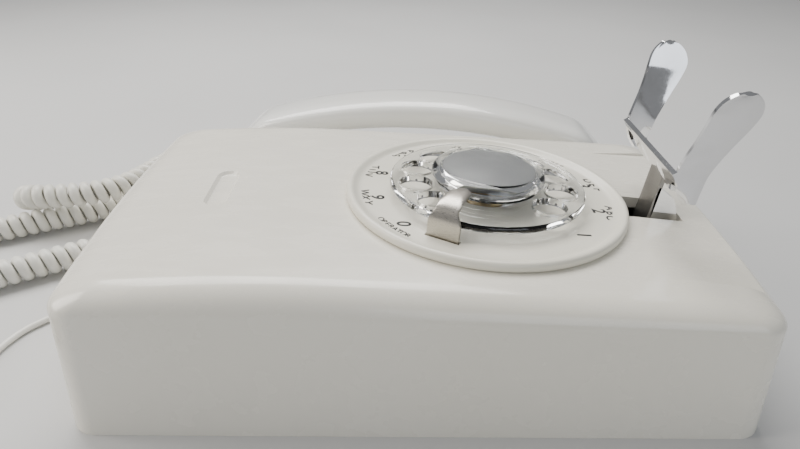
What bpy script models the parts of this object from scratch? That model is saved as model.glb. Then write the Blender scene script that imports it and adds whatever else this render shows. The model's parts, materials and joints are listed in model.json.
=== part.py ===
"""Rotary wall telephone, lying on its back on a flat surface, with its handset laid beside it.

+X runs to the top of the telephone, +Y to its left side, and +Z out of its front.
The origin lies on the back plane, where the telephone meets the wall, in the middle of the housing.
"""
import math

import bmesh
import bpy
from mathutils import Euler, Matrix, Vector

MM = 0.001

# ---- driving dimensions ----
GAP = 0.3 * MM                      # clearance between pieces that touch

HOUSING_LENGTH = 240.5 * MM         # along X at the back edge
HOUSING_MIDDLE = -2.25 * MM         # X of the middle of its length
HOUSING_WIDTH = 150 * MM            # along Y at the back edge
HOUSING_CORNER = 10 * MM            # plan radius of the corners
HOUSING_BOW = 2.5 * MM              # outward bow of both end walls
HOUSING_DRAFT = 1.5 * MM            # how far the walls lean in up to the shoulder
HOUSING_WALL = 3.0 * MM
SHOULDER_HEIGHT = 44 * MM           # where the rounded shoulder begins, at mid length
SHOULDER_SLOPE = 0.02               # fall of the shoulder towards the top end
SHOULDER_RADIUS = 11 * MM
FACE_HEIGHT = 52.6 * MM             # front face at the dial axis
FACE_TILT = 0.05                    # radians that the front face leans towards the top end
END_DROP = 7 * MM                   # extra fall of the face at the bottom end, beyond its bend
BEND_FROM_END = 90 * MM             # where that fall begins
SCOOP_START = 36 * MM               # how far before the top end the face starts to dip
SCOOP_DEPTH = 2.2 * MM
BASE_THICKNESS = 1.5 * MM

RECESS_FROM_END = 44 * MM         # shallow round-ended recess, from the bottom end to its middle
RECESS_LENGTH = 31 * MM
RECESS_WIDTH = 9.5 * MM
RECESS_DEPTH = 1.2 * MM

CORD_EXIT_Z = 9 * MM                # handset cord, through the bottom end wall
GROMMET_RADIUS = 4.6 * MM
LINE_EXIT_Y = 4 * MM                # line cord
LINE_EXIT_Z = 4.5 * MM
LINE_GROMMET_RADIUS = 2.4 * MM
SCREW_Z = 14 * MM                   # captive screw that holds the housing on
SCREW_RADIUS = 1.8 * MM
VOLUME_Z = 7 * MM                   # ringer volume wheel
VOLUME_RADIUS = 9 * MM
STUD_RADIUS = 2 * MM

DIAL_FROM_END = 93 * MM             # dial axis, from the top end
WHEEL_RADIUS = 38.1 * MM            # finger wheel
WHEEL_UNDERSIDE = 4.6 * MM          # above the housing face
WHEEL_THICKNESS = 2.8 * MM
NUMBER_RING = 16.9 * MM             # width of the number plate that shows round the wheel
PLATE_LIP = 3.3 * MM
PLATE_THICKNESS = 1.5 * MM
PLATE_BORE = 15 * MM
FINGER_HOLES = 10
FINGER_PITCH = math.radians(29.4)   # angle between neighbouring finger holes
FIRST_HOLE = math.radians(-43.5)    # hole 1, from the top of the telephone
STOP_ANGLE = math.radians(-117.3)   # finger stop
STOP_SHEET = 1.2 * MM
CAP_BOTTOM = 9.6 * MM               # clear cap over the hub, above the housing face
CAP_TOP = 13.6 * MM
CARD_BOTTOM = 11.0 * MM
CARD_THICKNESS = 0.8 * MM
DIAL_SHAFT_RADIUS = 3.0 * MM
SHAFT_END = -24 * MM
FRAME_TOP = -3.4 * MM               # dial frame, below the housing face
FRAME_THICKNESS = 1.5 * MM
BUSH_RADIUS = 5.2 * MM
ARBOR_RADIUS = 1.5 * MM
MAIN_GEAR_Z = -13 * MM
SECOND_GEAR_Z = -18 * MM

MAIN_TEETH = 48
PINION_TEETH = 12
MAIN_MODULE = 1.0 * MM
SECOND_TEETH = 40
GOVERNOR_TEETH = 10
SECOND_MODULE = 0.8 * MM
SECOND_ANGLE = math.radians(60)     # from the dial axis to the second axis
GOVERNOR_ANGLE = math.radians(170)  # from the second axis to the governor's

PIVOT_FROM_DIAL = 8 * MM            # hook pivot, beyond the number plate's rim
HOOK_PIVOT_Z = 13 * MM
HOOK_PIN_RADIUS = 1.8 * MM
FORK_HALF_GAP = 26 * MM             # from the middle to the inner face of each prong
FORK_SHEET = 1.8 * MM
# each shape of the fork is in millimetres: X from the hook pivot, Z from the back plane
FORK_TOP_EDGE = (-3.5, 75.5)        # front edge of the bridge between the prongs
BRIDGE_SLOPE = math.radians(59)     # below level, running back towards the slot
PRONG_LEVELS = [                    # height, front edge, back edge, flare
    (64, 2.5, 7, 0), (69, -0.6, 7.8, 0), (75, -2, 9, 0), (81, -0.8, 11.3, 0.6), (87, 1, 14, 1.6),
    (93, 2.4, 17, 2.7), (98, 3.3, 19, 3.7), (102, 4.4, 18.8, 5), (105, 6.4, 17, 6.4), (107, 9, 14, 7.5)]
STEM = [(4.6, 63.5), (2.6, 63.5), (0.8, 52), (-0.9, 40), (-0.9, 22), (0.9, 22), (0.9, 40), (2.6, 52)]
WEB = [(2.6, 60.5), (6, 58.5), (9.5, 55), (11.8, 47), (10.5, 41), (0.6, 38), (0.6, 44), (1.6, 53)]

GONG_FROM_END = 43.5 * MM             # gong centres, from the bottom end
GONG_BOTTOM = 12 * MM
GONG_HEIGHT = 12 * MM
BELL_SHEET = 1.2 * MM
GONG_CLEARANCE = 6 * MM             # from the middle line to each gong's rim
LARGE_GONG = 25 * MM                # radius
SMALL_GONG = 23 * MM
CLAPPER_FROM_GONG = 34 * MM
CLAPPER_Z = 18 * MM
CLAPPER_PIN = 1.5 * MM
CLAPPER_BALL = 3 * MM
COIL_FROM_GONG = 49 * MM
COIL_Z = 14.5 * MM
NETWORK_TOP = 22 * MM

HANDSET_HALF_SPAN = 77 * MM         # from the middle to the axis of each cap
HANDSET_TILT = math.radians(8)      # each cap leans to face the other
CAP_RIM_RADIUS = 28.5 * MM
CAP_HEIGHT = 10 * MM
CAP_WALL = 2.6 * MM
HEAD_HEIGHT = 38 * MM               # from the cap's face to the crown of the head
POCKET_DEPTH = 18 * MM
HANDLE_HALF_WIDTH = 17.5 * MM
HANDLE_DEPTH = 16 * MM
HANDLE_TOP = 57 * MM
HANDLE_ARC_RADIUS = 285 * MM
HANDSET_X = 3 * MM
HANDSET_CLEARANCE = 12 * MM         # from the housing side to the nearest cap
HANDSET_TURN = math.radians(-5)
BUSH_Z = 15 * MM                    # cord bush in the end of the handset

CORD_DIAMETER = 12.6 * MM           # outside of the curly cord
LINE_DIAMETER = 2.6 * MM
LINE_COIL_RADIUS = 21 * MM
LINE_COIL_BUNDLE = 11 * MM
COIL_CENTRE = (-202.3 * MM, -68.3 * MM, 6.6 * MM)
PLUG_REAR = (-195.3 * MM, -118.3 * MM, 3.6 * MM)
# each route is in millimetres
HANDSET_CORD_ROUTE = [
    (-125.8, 50, 9), (-130.4, 49.6, 8.6), (-136.0, 45.2, 7.3), (-143, 38.5, 6.6), (-156, 30, 6.6),
    (-169, 21.3, 6.6), (-186, 10.4, 6.6), (-203, 0, 6.6), (-219, -5, 6.6), (-235, 2, 6.6), (-241, 18, 6.6),
    (-236, 34, 6.6), (-222, 43, 6.6), (-207, 50.3, 6.6), (-188, 61, 6.6), (-171, 70, 6.6),
    (-158.5, 79.5, 6.6), (-146, 88, 6.6), (-133, 91.5, 6.6), (-122, 94, 7.6), (-117.5, 102, 10.5),
    (-121.5, 110, 14), (-131, 111, 17.4), (-139, 101.5, 19.8), (-144, 88, 20), (-152, 73.5, 20),
    (-165.5, 64.5, 20), (-184, 60.3, 20), (-191.5, 60.8, 19.6), (-198, 64.3, 17.4), (-200.8, 71.5, 13),
    (-197, 79, 8.8), (-187.5, 82.5, 6.7), (-178, 86, 6.6), (-168, 92, 6.6), (-158, 101, 6.6),
    (-149, 112, 6.6), (-138, 121.5, 8.0), (-127, 126, 12.6), (-118, 126.1, 14.8), (-110.2, 125.4, 15)]
LINE_CORD_ROUTE = [
    (-124.8, 4, 4.5), (-129.5, 3.6, 3.3), (-137.5, 0.8, 1.5), (-147, -7, 1.4), (-155.3, -16.1, 1.4),
    (-159.3, -21.2, 1.4), (-162, -27, 1.4), (-163.9, -34, 1.4), (-165, -45, 1.4), (-165.8, -54, 2.6),
    (-169.8, -61.8, 5.4), (-175.3, -63.6, 6.2)]
LINE_TAIL_ROUTE = [(-199, -95.7, 6), (-197.9, -101.5, 5.4), (-196.2, -110.5, 4.0), (-195.3, -118, 3.6)]

# ---- values worked out from them ----
HALF_LENGTH = HOUSING_LENGTH / 2
HALF_WIDTH = HOUSING_WIDTH / 2
BOTTOM_WALL_X = HOUSING_MIDDLE - HALF_LENGTH    # outer face of each end, at the back edge
TOP_WALL_X = HOUSING_MIDDLE + HALF_LENGTH
BEND_X = BOTTOM_WALL_X + BEND_FROM_END
BEND_STATIONS = [BOTTOM_WALL_X + BEND_FROM_END * share for share in (1.0, 0.8, 0.65, 0.3)]
DECK = BASE_THICKNESS + GAP         # where pieces inside stand
RECESS_X = BOTTOM_WALL_X + RECESS_FROM_END
CORD_EXIT_Y = HALF_WIDTH - 25 * MM
SCREW_Y = CORD_EXIT_Y / 2
VOLUME_Y = -(HALF_WIDTH - 33 * MM)
DIAL_X = TOP_WALL_X - DIAL_FROM_END
PLATE_RADIUS = WHEEL_RADIUS + NUMBER_RING
PLATE_BOTTOM = GAP
WHEEL_TOP = WHEEL_UNDERSIDE + WHEEL_THICKNESS
FINGER_HOLE_RADIUS = WHEEL_RADIUS * 0.173
FINGER_HOLE_CIRCLE = WHEEL_RADIUS * 0.75
STOP_CIRCLE = WHEEL_RADIUS + 3.9 * MM
HUB_RADIUS = WHEEL_RADIUS * 0.512
CAP_RADIUS = HUB_RADIUS + 2.5 * MM
CARD_RADIUS = CAP_RADIUS - 4.2 * MM
DIAL_FRAME_RADIUS = STOP_CIRCLE + 2 * MM
FRAME_BOTTOM = FRAME_TOP - FRAME_THICKNESS
MAIN_CENTRES = (MAIN_TEETH + PINION_TEETH) * MAIN_MODULE / 2
SECOND_CENTRES = (SECOND_TEETH + GOVERNOR_TEETH) * SECOND_MODULE / 2
HOOK_PIVOT_X = DIAL_X + PLATE_RADIUS + PIVOT_FROM_DIAL
HOOK_PIVOT = (HOOK_PIVOT_X, 0, HOOK_PIVOT_Z)
GONG_X = BOTTOM_WALL_X + GONG_FROM_END
CLAPPER_X = GONG_X + CLAPPER_FROM_GONG
COIL_X = GONG_X + COIL_FROM_GONG
RINGER_END = COIL_X + 12 * MM       # edge of the ringer frame, towards the network
NETWORK_LOW = (RINGER_END + 4 * MM, 2 * MM - DIAL_FRAME_RADIUS)
NETWORK_HIGH = (HOOK_PIVOT_X - 36 * MM, 4 * MM)
HANDSET_Y = HALF_WIDTH + HANDSET_CLEARANCE + CAP_RIM_RADIUS
HEAD_POCKET_RADIUS = CAP_RIM_RADIUS - 6 * MM
HANDSET_END = HANDSET_HALF_SPAN + CAP_RIM_RADIUS


def face_height(x):
    """Height of the tilted front face, which falls away towards the bottom end."""
    beyond = max(0.0, (BEND_X - x) / BEND_FROM_END)
    return FACE_HEIGHT - math.tan(FACE_TILT) * (x - DIAL_X) - END_DROP * beyond ** 2


def bottom_wall(y, z):
    """X of the bottom end wall's outer face."""
    bow = HOUSING_BOW * (y / (HALF_WIDTH - HOUSING_CORNER)) ** 2
    return BOTTOM_WALL_X + bow + HOUSING_DRAFT * z / SHOULDER_HEIGHT


def shoulder_height(x):
    """Height where the side wall turns into the rounded shoulder."""
    return SHOULDER_HEIGHT - SHOULDER_SLOPE * x


# ---- helpers ----
def clear_scene():
    for item in list(bpy.data.objects):
        bpy.data.objects.remove(item, do_unlink=True)


def make_material(name, colour, roughness, metallic=0.0):
    material = bpy.data.materials.new(name)
    material.use_nodes = True
    shader = material.node_tree.nodes["Principled BSDF"]
    shader.inputs["Base Color"].default_value = (*colour, 1.0)
    shader.inputs["Roughness"].default_value = roughness
    shader.inputs["Metallic"].default_value = metallic
    material.diffuse_color = (*colour, 1.0)
    return material


def make_empty(name, location, turn=(0.0, 0.0, 0.0)):
    empty = bpy.data.objects.new(name, None)
    empty.location = location
    empty.rotation_euler = turn
    bpy.context.scene.collection.objects.link(empty)
    return empty


def add_object(name, bm, look, parent=None, smooth=True):
    """Turn a bmesh into a named object with its own material."""
    bmesh.ops.recalc_face_normals(bm, faces=bm.faces)
    mesh = bpy.data.meshes.new(name)
    bm.to_mesh(mesh)
    bm.free()
    if smooth:
        mesh.shade_smooth()
        mesh.set_sharp_from_angle(angle=math.radians(35))
    item = bpy.data.objects.new(name, mesh)
    if look is not None:
        mesh.materials.append(make_material(name, *look))
    item.parent = parent
    bpy.context.scene.collection.objects.link(item)
    return item


def rings_to_bmesh(rings, closed=False):
    """Join equal rings of points with quads; cap both ends, or close the last onto the first."""
    bm = bmesh.new()
    rows = [[bm.verts.new(point) for point in ring] for ring in rings]
    pairs = list(zip(rows, rows[1:]))
    if closed:
        pairs.append((rows[-1], rows[0]))
    for low, high in pairs:
        count = len(low)
        for i in range(count):
            j = (i + 1) % count
            bm.faces.new((low[i], low[j], high[j], high[i]))
    if not closed:
        bm.faces.new(rows[0])
        bm.faces.new(rows[-1])
    return bm


def turned_bmesh(profile, segments=32):
    """Turn (radius, height) points around Z; a profile off the axis is closed on itself."""
    bm = bmesh.new()
    rows = []
    for radius, height in profile:
        if radius < 1e-7:
            rows.append([bm.verts.new((0, 0, height))])
            continue
        angles = [2 * math.pi * k / segments for k in range(segments)]
        rows.append([bm.verts.new((radius * math.cos(a), radius * math.sin(a), height)) for a in angles])
    on_axis = len(rows[0]) == 1 or len(rows[-1]) == 1
    pairs = list(zip(rows, rows[1:]))
    if not on_axis:
        pairs.append((rows[-1], rows[0]))
    for low, high in pairs:
        for i in range(segments):
            j = (i + 1) % segments
            if len(low) == 1:
                bm.faces.new((low[0], high[j], high[i]))
            elif len(high) == 1:
                bm.faces.new((low[i], low[j], high[0]))
            else:
                bm.faces.new((low[i], low[j], high[j], high[i]))
    return bm


def prism_bmesh(outline, low, high):
    """Upright prism over a flat outline."""
    return rings_to_bmesh([[(x, y, low) for x, y in outline], [(x, y, high) for x, y in outline]])


def box_bmesh(low, high):
    outline = [(low[0], low[1]), (high[0], low[1]), (high[0], high[1]), (low[0], high[1])]
    return prism_bmesh(outline, low[2], high[2])


def side_prism_bmesh(profile, y_low, y_high):
    """Prism across Y over an outline given in X and Z."""
    return rings_to_bmesh([[(x, y_low, z) for x, z in profile], [(x, y_high, z) for x, z in profile]])


def place(bm, matrix):
    bmesh.ops.transform(bm, matrix=matrix, verts=bm.verts)
    return bm


def along_x(bm, location):
    """Lay a piece turned around Z along X."""
    return place(bm, Matrix.Translation(location) @ Euler((0, math.pi / 2, 0)).to_matrix().to_4x4())


def along_y(bm, location):
    """Lay a piece turned around Z along Y."""
    return place(bm, Matrix.Translation(location) @ Euler((-math.pi / 2, 0, 0)).to_matrix().to_4x4())


def combine(item, other_bmesh, operation, parent=None):
    """Cut a shape from an object, or join it on, with a modifier; the shape stays as a guide."""
    guide = add_object(f"guide_{item.name}_{len(item.modifiers)}", other_bmesh, None, parent, smooth=False)
    guide.hide_render = True
    guide.display_type = "WIRE"
    modifier = item.modifiers.new("shape", "BOOLEAN")
    modifier.operation = operation
    modifier.solver = "EXACT"
    modifier.object = guide


def cut(item, cutter, parent=None):
    combine(item, cutter, "DIFFERENCE", parent)


def join(item, addition, parent=None):
    combine(item, addition, "UNION", parent)


def cylinder_bmesh(radius, low, high, segments=24):
    return turned_bmesh([(0, low), (radius, low), (radius, high), (0, high)], segments)


def ring_bmesh(inner, outer, low, high, segments=32):
    return turned_bmesh([(inner, low), (outer, low), (outer, high), (inner, high)], segments)


def stadium(length, width, steps=8):
    """Slot outline with round ends, long way along Y."""
    radius = width / 2
    reach = length / 2 - radius
    points = []
    for k in range(steps + 1):
        angle = math.pi * k / steps
        points.append((radius * math.cos(angle), reach + radius * math.sin(angle)))
    for k in range(steps + 1):
        angle = math.pi + math.pi * k / steps
        points.append((radius * math.cos(angle), -reach + radius * math.sin(angle)))
    return points


def gear_outline(teeth, module):
    """Straight-flanked teeth, thinner than half the pitch so that meshing gears keep backlash."""
    pitch_radius = teeth * module / 2
    tip = pitch_radius + 0.7 * module
    root = pitch_radius - 1.0 * module
    points = []
    for k in range(teeth):
        middle = 2 * math.pi * k / teeth
        for radius, share in ((root, -0.27), (tip, -0.09), (tip, 0.09), (root, 0.27)):
            angle = middle + share * 2 * math.pi / teeth
            points.append((radius * math.cos(angle), radius * math.sin(angle)))
    return points


# ---- looks: colour, roughness, metallic ----
IVORY = (0.80, 0.78, 0.70)
HOUSING_LOOK = (IVORY, 0.22)
HANDSET_LOOK = ((0.85, 0.85, 0.82), 0.18)
PLATE_LOOK = ((0.80, 0.77, 0.66), 0.35)
CLEAR_LOOK = ((0.80, 0.84, 0.86), 0.05)
CARD_LOOK = ((0.56, 0.56, 0.55), 0.40, 0.2)
CHROME_LOOK = ((0.80, 0.80, 0.82), 0.06, 1.0)
SATIN_LOOK = ((0.50, 0.48, 0.45), 0.35, 1.0)
ZINC_LOOK = ((0.55, 0.56, 0.57), 0.42, 1.0)
BRASS_LOOK = ((0.72, 0.55, 0.28), 0.30, 1.0)
BLACK_LOOK = ((0.03, 0.03, 0.03), 0.45)
COPPER_LOOK = ((0.55, 0.25, 0.12), 0.35, 0.6)
CORD_LOOK = ((0.78, 0.77, 0.70), 0.40)
PLUG_LOOK = ((0.82, 0.84, 0.84), 0.10)


# ---- housing and base ----
def housing_outline(inset, height_at, steps=6):
    """One level of the housing: round corners and gently bowed ends, at a height that may vary with X."""
    half_x = HALF_LENGTH - inset
    half_y = HALF_WIDTH - inset
    centre_x = half_x - HOUSING_BOW - HOUSING_CORNER
    centre_y = half_y - HOUSING_CORNER
    points = []
    for quarter in range(4):
        side = 1 if quarter in (0, 3) else -1
        up = 1 if quarter < 2 else -1
        for k in range(steps + 1):
            angle = math.pi / 2 * (quarter + k / steps)
            x = side * centre_x + HOUSING_CORNER * math.cos(angle)
            points.append((x, up * centre_y + HOUSING_CORNER * math.sin(angle)))
        if quarter in (1, 3):
            for k in range(1, 6):
                y = up * centre_y * (1 - k / 3)
                points.append((side * (half_x - HOUSING_BOW * (y / centre_y) ** 2), y))
        else:
            stations = BEND_STATIONS if quarter == 0 else reversed(BEND_STATIONS)
            points.extend((x - HOUSING_MIDDLE, up * half_y) for x in stations)
    return [(x + HOUSING_MIDDLE, y, height_at(x + HOUSING_MIDDLE)) for x, y in points]


def split_across(face):
    """Divide a face into flat strips at the stations of its bend."""
    for x in BEND_STATIONS:
        pair = [v for v in face.verts if abs(v.co.x - x) < 1e-7]
        new_face = bmesh.utils.face_split(face, *pair)[0]
        face = min((face, new_face), key=lambda part: part.calc_center_median().x)


def build_housing():
    def level(rise):
        return lambda x: shoulder_height(x) + rise * (face_height(x) - shoulder_height(x))

    def ceiling(x):
        return face_height(x) - HOUSING_WALL - SCOOP_DEPTH * (x - BOTTOM_WALL_X) / HOUSING_LENGTH

    outer = [housing_outline(0, lambda x: 0)]
    arc_steps = 5
    for k in range(arc_steps + 1):
        angle = (math.pi / 2) * k / arc_steps
        inset = HOUSING_DRAFT + SHOULDER_RADIUS * (1 - math.cos(angle))
        outer.append(housing_outline(inset, level(math.sin(angle))))
    inner = [housing_outline(HOUSING_DRAFT + SHOULDER_RADIUS, ceiling)]
    inner.append(housing_outline(HOUSING_DRAFT + HOUSING_WALL, lambda x: shoulder_height(x) - HOUSING_WALL))
    inner.append(housing_outline(HOUSING_WALL, lambda x: 0))
    shell = bmesh.new()
    rows = [[shell.verts.new(point) for point in ring] for ring in outer + inner]
    face_row = len(outer) - 1
    count = len(rows[0])
    for index, low in enumerate(rows):
        if index == face_row:
            continue
        high = rows[(index + 1) % len(rows)]
        for i in range(count):
            j = (i + 1) % count
            shell.faces.new((low[i], low[j], high[j], high[i]))
    for ring in (rows[face_row], rows[face_row + 1]):
        split_across(shell.faces.new(ring))
    return add_object("housing_shell", shell, HOUSING_LOOK)


def scoop_bmesh():
    """Shallow wedge that dips the face towards the top end, between the two side shoulders."""
    start = TOP_WALL_X - SCOOP_START
    end = TOP_WALL_X + 5 * MM
    half_start = HALF_WIDTH - 23 * MM
    half_end = HALF_WIDTH - 16.5 * MM
    over = 10 * MM
    rings = []
    for lift in (0, 1):
        ring = []
        for x, half, depth in ((start, half_start, 0), (end, half_end, SCOOP_DEPTH)):
            z = face_height(x) - depth + lift * over
            ring.append((x, half, z))
            ring.append((x, -half, z))
        rings.append([ring[0], ring[1], ring[3], ring[2]])
    return rings_to_bmesh(rings)


def build_housing_openings(housing, dial):
    cut(housing, cylinder_bmesh(DIAL_FRAME_RADIUS + 3 * MM, -20 * MM, 20 * MM, 48), dial)
    cut(housing, scoop_bmesh())
    slot_low = (DIAL_X + DIAL_FRAME_RADIUS - MM, -10 * MM, face_height(HOOK_PIVOT_X) - 15 * MM)
    slot_high = (HOOK_PIVOT_X + 13.5 * MM, 7.5 * MM, face_height(HOOK_PIVOT_X) + 15 * MM)
    cut(housing, box_bmesh(slot_low, slot_high))
    recess = prism_bmesh(stadium(RECESS_LENGTH, RECESS_WIDTH), -RECESS_DEPTH, 5 * MM)
    reach = RECESS_WIDTH / 2
    slope = math.atan((face_height(RECESS_X - reach) - face_height(RECESS_X + reach)) / RECESS_WIDTH)
    tilt = Euler((0, slope, 0)).to_matrix().to_4x4()
    cut(housing, place(recess, Matrix.Translation((RECESS_X, 0, face_height(RECESS_X))) @ tilt))
    for y, z, radius in ((CORD_EXIT_Y, CORD_EXIT_Z, GROMMET_RADIUS + GAP),
                         (LINE_EXIT_Y, LINE_EXIT_Z, LINE_GROMMET_RADIUS + GAP),
                         (SCREW_Y, SCREW_Z, SCREW_RADIUS + GAP)):
        cut(housing, along_x(cylinder_bmesh(radius, -8 * MM, 12 * MM, 16), (BOTTOM_WALL_X, y, z)))
    half_slot = VOLUME_RADIUS + GAP
    wheel_low = (BOTTOM_WALL_X - 8 * MM, VOLUME_Y - half_slot, VOLUME_Z - 2 * MM)
    wheel_high = (BOTTOM_WALL_X + 12 * MM, VOLUME_Y + half_slot, VOLUME_Z + 2 * MM)
    cut(housing, box_bmesh(wheel_low, wheel_high))


def build_base():
    """Flat steel plate inside the housing's back rim, with its two keyhole-shaped hanging slots."""
    outline = housing_outline(HOUSING_WALL + 0.4 * MM, lambda x: 0)
    sheet = prism_bmesh([(x, y) for x, y, _ in outline], 0, BASE_THICKNESS)
    plate = add_object("base_plate", sheet, ZINC_LOOK)
    for x in (BOTTOM_WALL_X + 67.5 * MM, TOP_WALL_X - 17 * MM):
        hole = place(cylinder_bmesh(5 * MM, -MM, 4 * MM, 16), Matrix.Translation((x, 0, 0)))
        cut(plate, hole)
        slit = box_bmesh((x, -2.4 * MM, -MM), (x + 9.5 * MM, 2.4 * MM, 4 * MM))
        cut(plate, slit)
    return plate


def build_housing_fixings():
    wall = BOTTOM_WALL_X + HOUSING_WALL + HOUSING_DRAFT
    nut_low = wall + 2 * MM
    sheet = 1.6 * MM
    bracket_profile = [(nut_low, DECK), (nut_low + 12 * MM, DECK), (nut_low + 12 * MM, DECK + sheet),
                       (nut_low + sheet, DECK + sheet), (nut_low + sheet, SCREW_Z + 6 * MM),
                       (nut_low, SCREW_Z + 6 * MM)]
    bracket = add_object("housing_screw_bracket",
                         side_prism_bmesh(bracket_profile, SCREW_Y - 5 * MM, SCREW_Y + 5 * MM), ZINC_LOOK)
    drill = cylinder_bmesh(SCREW_RADIUS + GAP, -4 * MM, 6 * MM, 16)
    cut(bracket, along_x(drill, (nut_low, SCREW_Y, SCREW_Z)))
    head = BOTTOM_WALL_X - 1.2 * MM
    reach = nut_low - head + 4 * MM
    screw = turned_bmesh([(0, 0), (3.2 * MM, 0), (3.6 * MM, 0.5 * MM), (3.6 * MM, 1.7 * MM),
                          (SCREW_RADIUS, 1.7 * MM), (SCREW_RADIUS, reach - MM), (1.2 * MM, reach),
                          (0, reach)], 16)
    item = add_object("housing_screw", along_x(screw, (head - MM, SCREW_Y, SCREW_Z)), ZINC_LOOK)
    cut(item, box_bmesh((head - 2 * MM, SCREW_Y - 4 * MM, SCREW_Z - 0.4 * MM),
                        (head - 0.4 * MM, SCREW_Y + 4 * MM, SCREW_Z + 0.4 * MM)))
    top = TOP_WALL_X - HOUSING_WALL - HOUSING_DRAFT - HOUSING_BOW - 2 * MM
    tip = DECK + 13.5 * MM
    latch_profile = [(top - 12 * MM, DECK), (top, DECK), (top, tip - sheet), (top + 1.8 * MM, tip - sheet),
                     (top + 1.8 * MM, tip), (top - sheet, tip), (top - sheet, DECK + sheet),
                     (top - 12 * MM, DECK + sheet)]
    for name, side in (("housing_latch_left", 1), ("housing_latch_right", -1)):
        y = side * (HALF_WIDTH - 30 * MM)
        add_object(name, side_prism_bmesh(latch_profile, y - 6 * MM, y + 6 * MM), ZINC_LOOK)


def build_strain_reliefs():
    """Grommets in the bottom end wall, each with a flange outside and a neck inside."""
    for name, y, z, radius in (("handset_cord_strain_relief", CORD_EXIT_Y, CORD_EXIT_Z, GROMMET_RADIUS),
                               ("line_cord_strain_relief", LINE_EXIT_Y, LINE_EXIT_Z, LINE_GROMMET_RADIUS)):
        flange = radius + 1.6 * MM
        profile = [(0, 0), (flange - 0.6 * MM, 0), (flange, 0.6 * MM), (flange, 1.6 * MM),
                   (radius, 1.6 * MM), (radius, 10 * MM), (0, 10 * MM)]
        start = (bottom_wall(y, z) - 1.6 * MM - 2 * GAP, y, z)
        add_object(name, along_x(turned_bmesh(profile, 16), start), CORD_LOOK)


# ---- dial, all in the frame of its own tilted axis ----
def polar(radius, angle):
    return (radius * math.cos(angle), radius * math.sin(angle))


def stop_bmesh(radius_in, radius_out, width, low, high):
    """Radial block across the finger stop's direction."""
    block = box_bmesh((radius_in, -width / 2, low), (radius_out, width / 2, high))
    return place(block, Euler((0, 0, STOP_ANGLE)).to_matrix().to_4x4())


def build_number_plate(dial):
    edge = PLATE_RADIUS
    lip = PLATE_BOTTOM + PLATE_LIP
    floor = PLATE_BOTTOM + PLATE_THICKNESS
    profile = [(PLATE_BORE, PLATE_BOTTOM), (edge - 0.4 * MM, PLATE_BOTTOM), (edge, PLATE_BOTTOM + 0.6 * MM),
               (edge - 0.1 * MM, lip - 1.2 * MM), (edge - 0.8 * MM, lip - 0.3 * MM), (edge - 1.9 * MM, lip),
               (edge - 3.2 * MM, lip - 0.5 * MM), (edge - 5.0 * MM, floor), (PLATE_BORE, floor)]
    plate = add_object("dial_number_plate", turned_bmesh(profile, 48), PLATE_LOOK, dial)
    cut(plate, stop_bmesh(STOP_CIRCLE - 1.2 * MM, STOP_CIRCLE + 1.2 * MM, 13 * MM, -5 * MM, 10 * MM), dial)


def build_finger_stop(dial):
    """Bent blade: up through the number plate, then over the wheel, narrowing to a round tip."""
    spine = [(STOP_CIRCLE, -1.6 * MM), (STOP_CIRCLE, 3 * MM), (STOP_CIRCLE - 0.2 * MM, 9 * MM),
             (STOP_CIRCLE - 2.2 * MM, 12.2 * MM), (STOP_CIRCLE - 6.5 * MM, 13.9 * MM),
             (STOP_CIRCLE - 12 * MM, 14 * MM), (STOP_CIRCLE - 17.5 * MM, 13.2 * MM)]
    widths = [12 * MM, 12 * MM, 8.4 * MM, 7 * MM, 6.4 * MM, 5.4 * MM, 3.6 * MM]
    half_sheet = STOP_SHEET / 2
    rings = []
    for k, (radius, height) in enumerate(spine):
        before = Vector(spine[max(k - 1, 0)])
        after = Vector(spine[min(k + 1, len(spine) - 1)])
        along = (after - before).normalized()
        across = Vector((-along.y, along.x)) * half_sheet
        half = widths[k] / 2
        front, back = radius - across.x, radius + across.x
        low, high = height - across.y, height + across.y
        rings.append([(front, -half, low), (back, -half, high), (back, half, high), (front, half, low)])
    blade = place(rings_to_bmesh(rings), Euler((0, 0, STOP_ANGLE)).to_matrix().to_4x4())
    add_object("finger_stop", blade, SATIN_LOOK, dial)


def build_finger_wheel(dial):
    profile = [(DIAL_SHAFT_RADIUS + GAP, WHEEL_UNDERSIDE), (WHEEL_RADIUS - 0.8 * MM, WHEEL_UNDERSIDE),
               (WHEEL_RADIUS, WHEEL_UNDERSIDE + 0.8 * MM), (WHEEL_RADIUS - 0.9 * MM, WHEEL_TOP),
               (HUB_RADIUS, WHEEL_TOP), (HUB_RADIUS, CAP_BOTTOM - GAP),
               (DIAL_SHAFT_RADIUS + GAP, CAP_BOTTOM - GAP)]
    wheel = add_object("finger_wheel", turned_bmesh(profile, 44), CLEAR_LOOK, dial)
    for k in range(FINGER_HOLES):
        x, y = polar(FINGER_HOLE_CIRCLE, FIRST_HOLE + k * FINGER_PITCH)
        hole = cylinder_bmesh(FINGER_HOLE_RADIUS, WHEEL_UNDERSIDE - 3 * MM, WHEEL_TOP + MM, 14)
        cut(wheel, place(hole, Matrix.Translation((x, y, 0))), dial)


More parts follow.
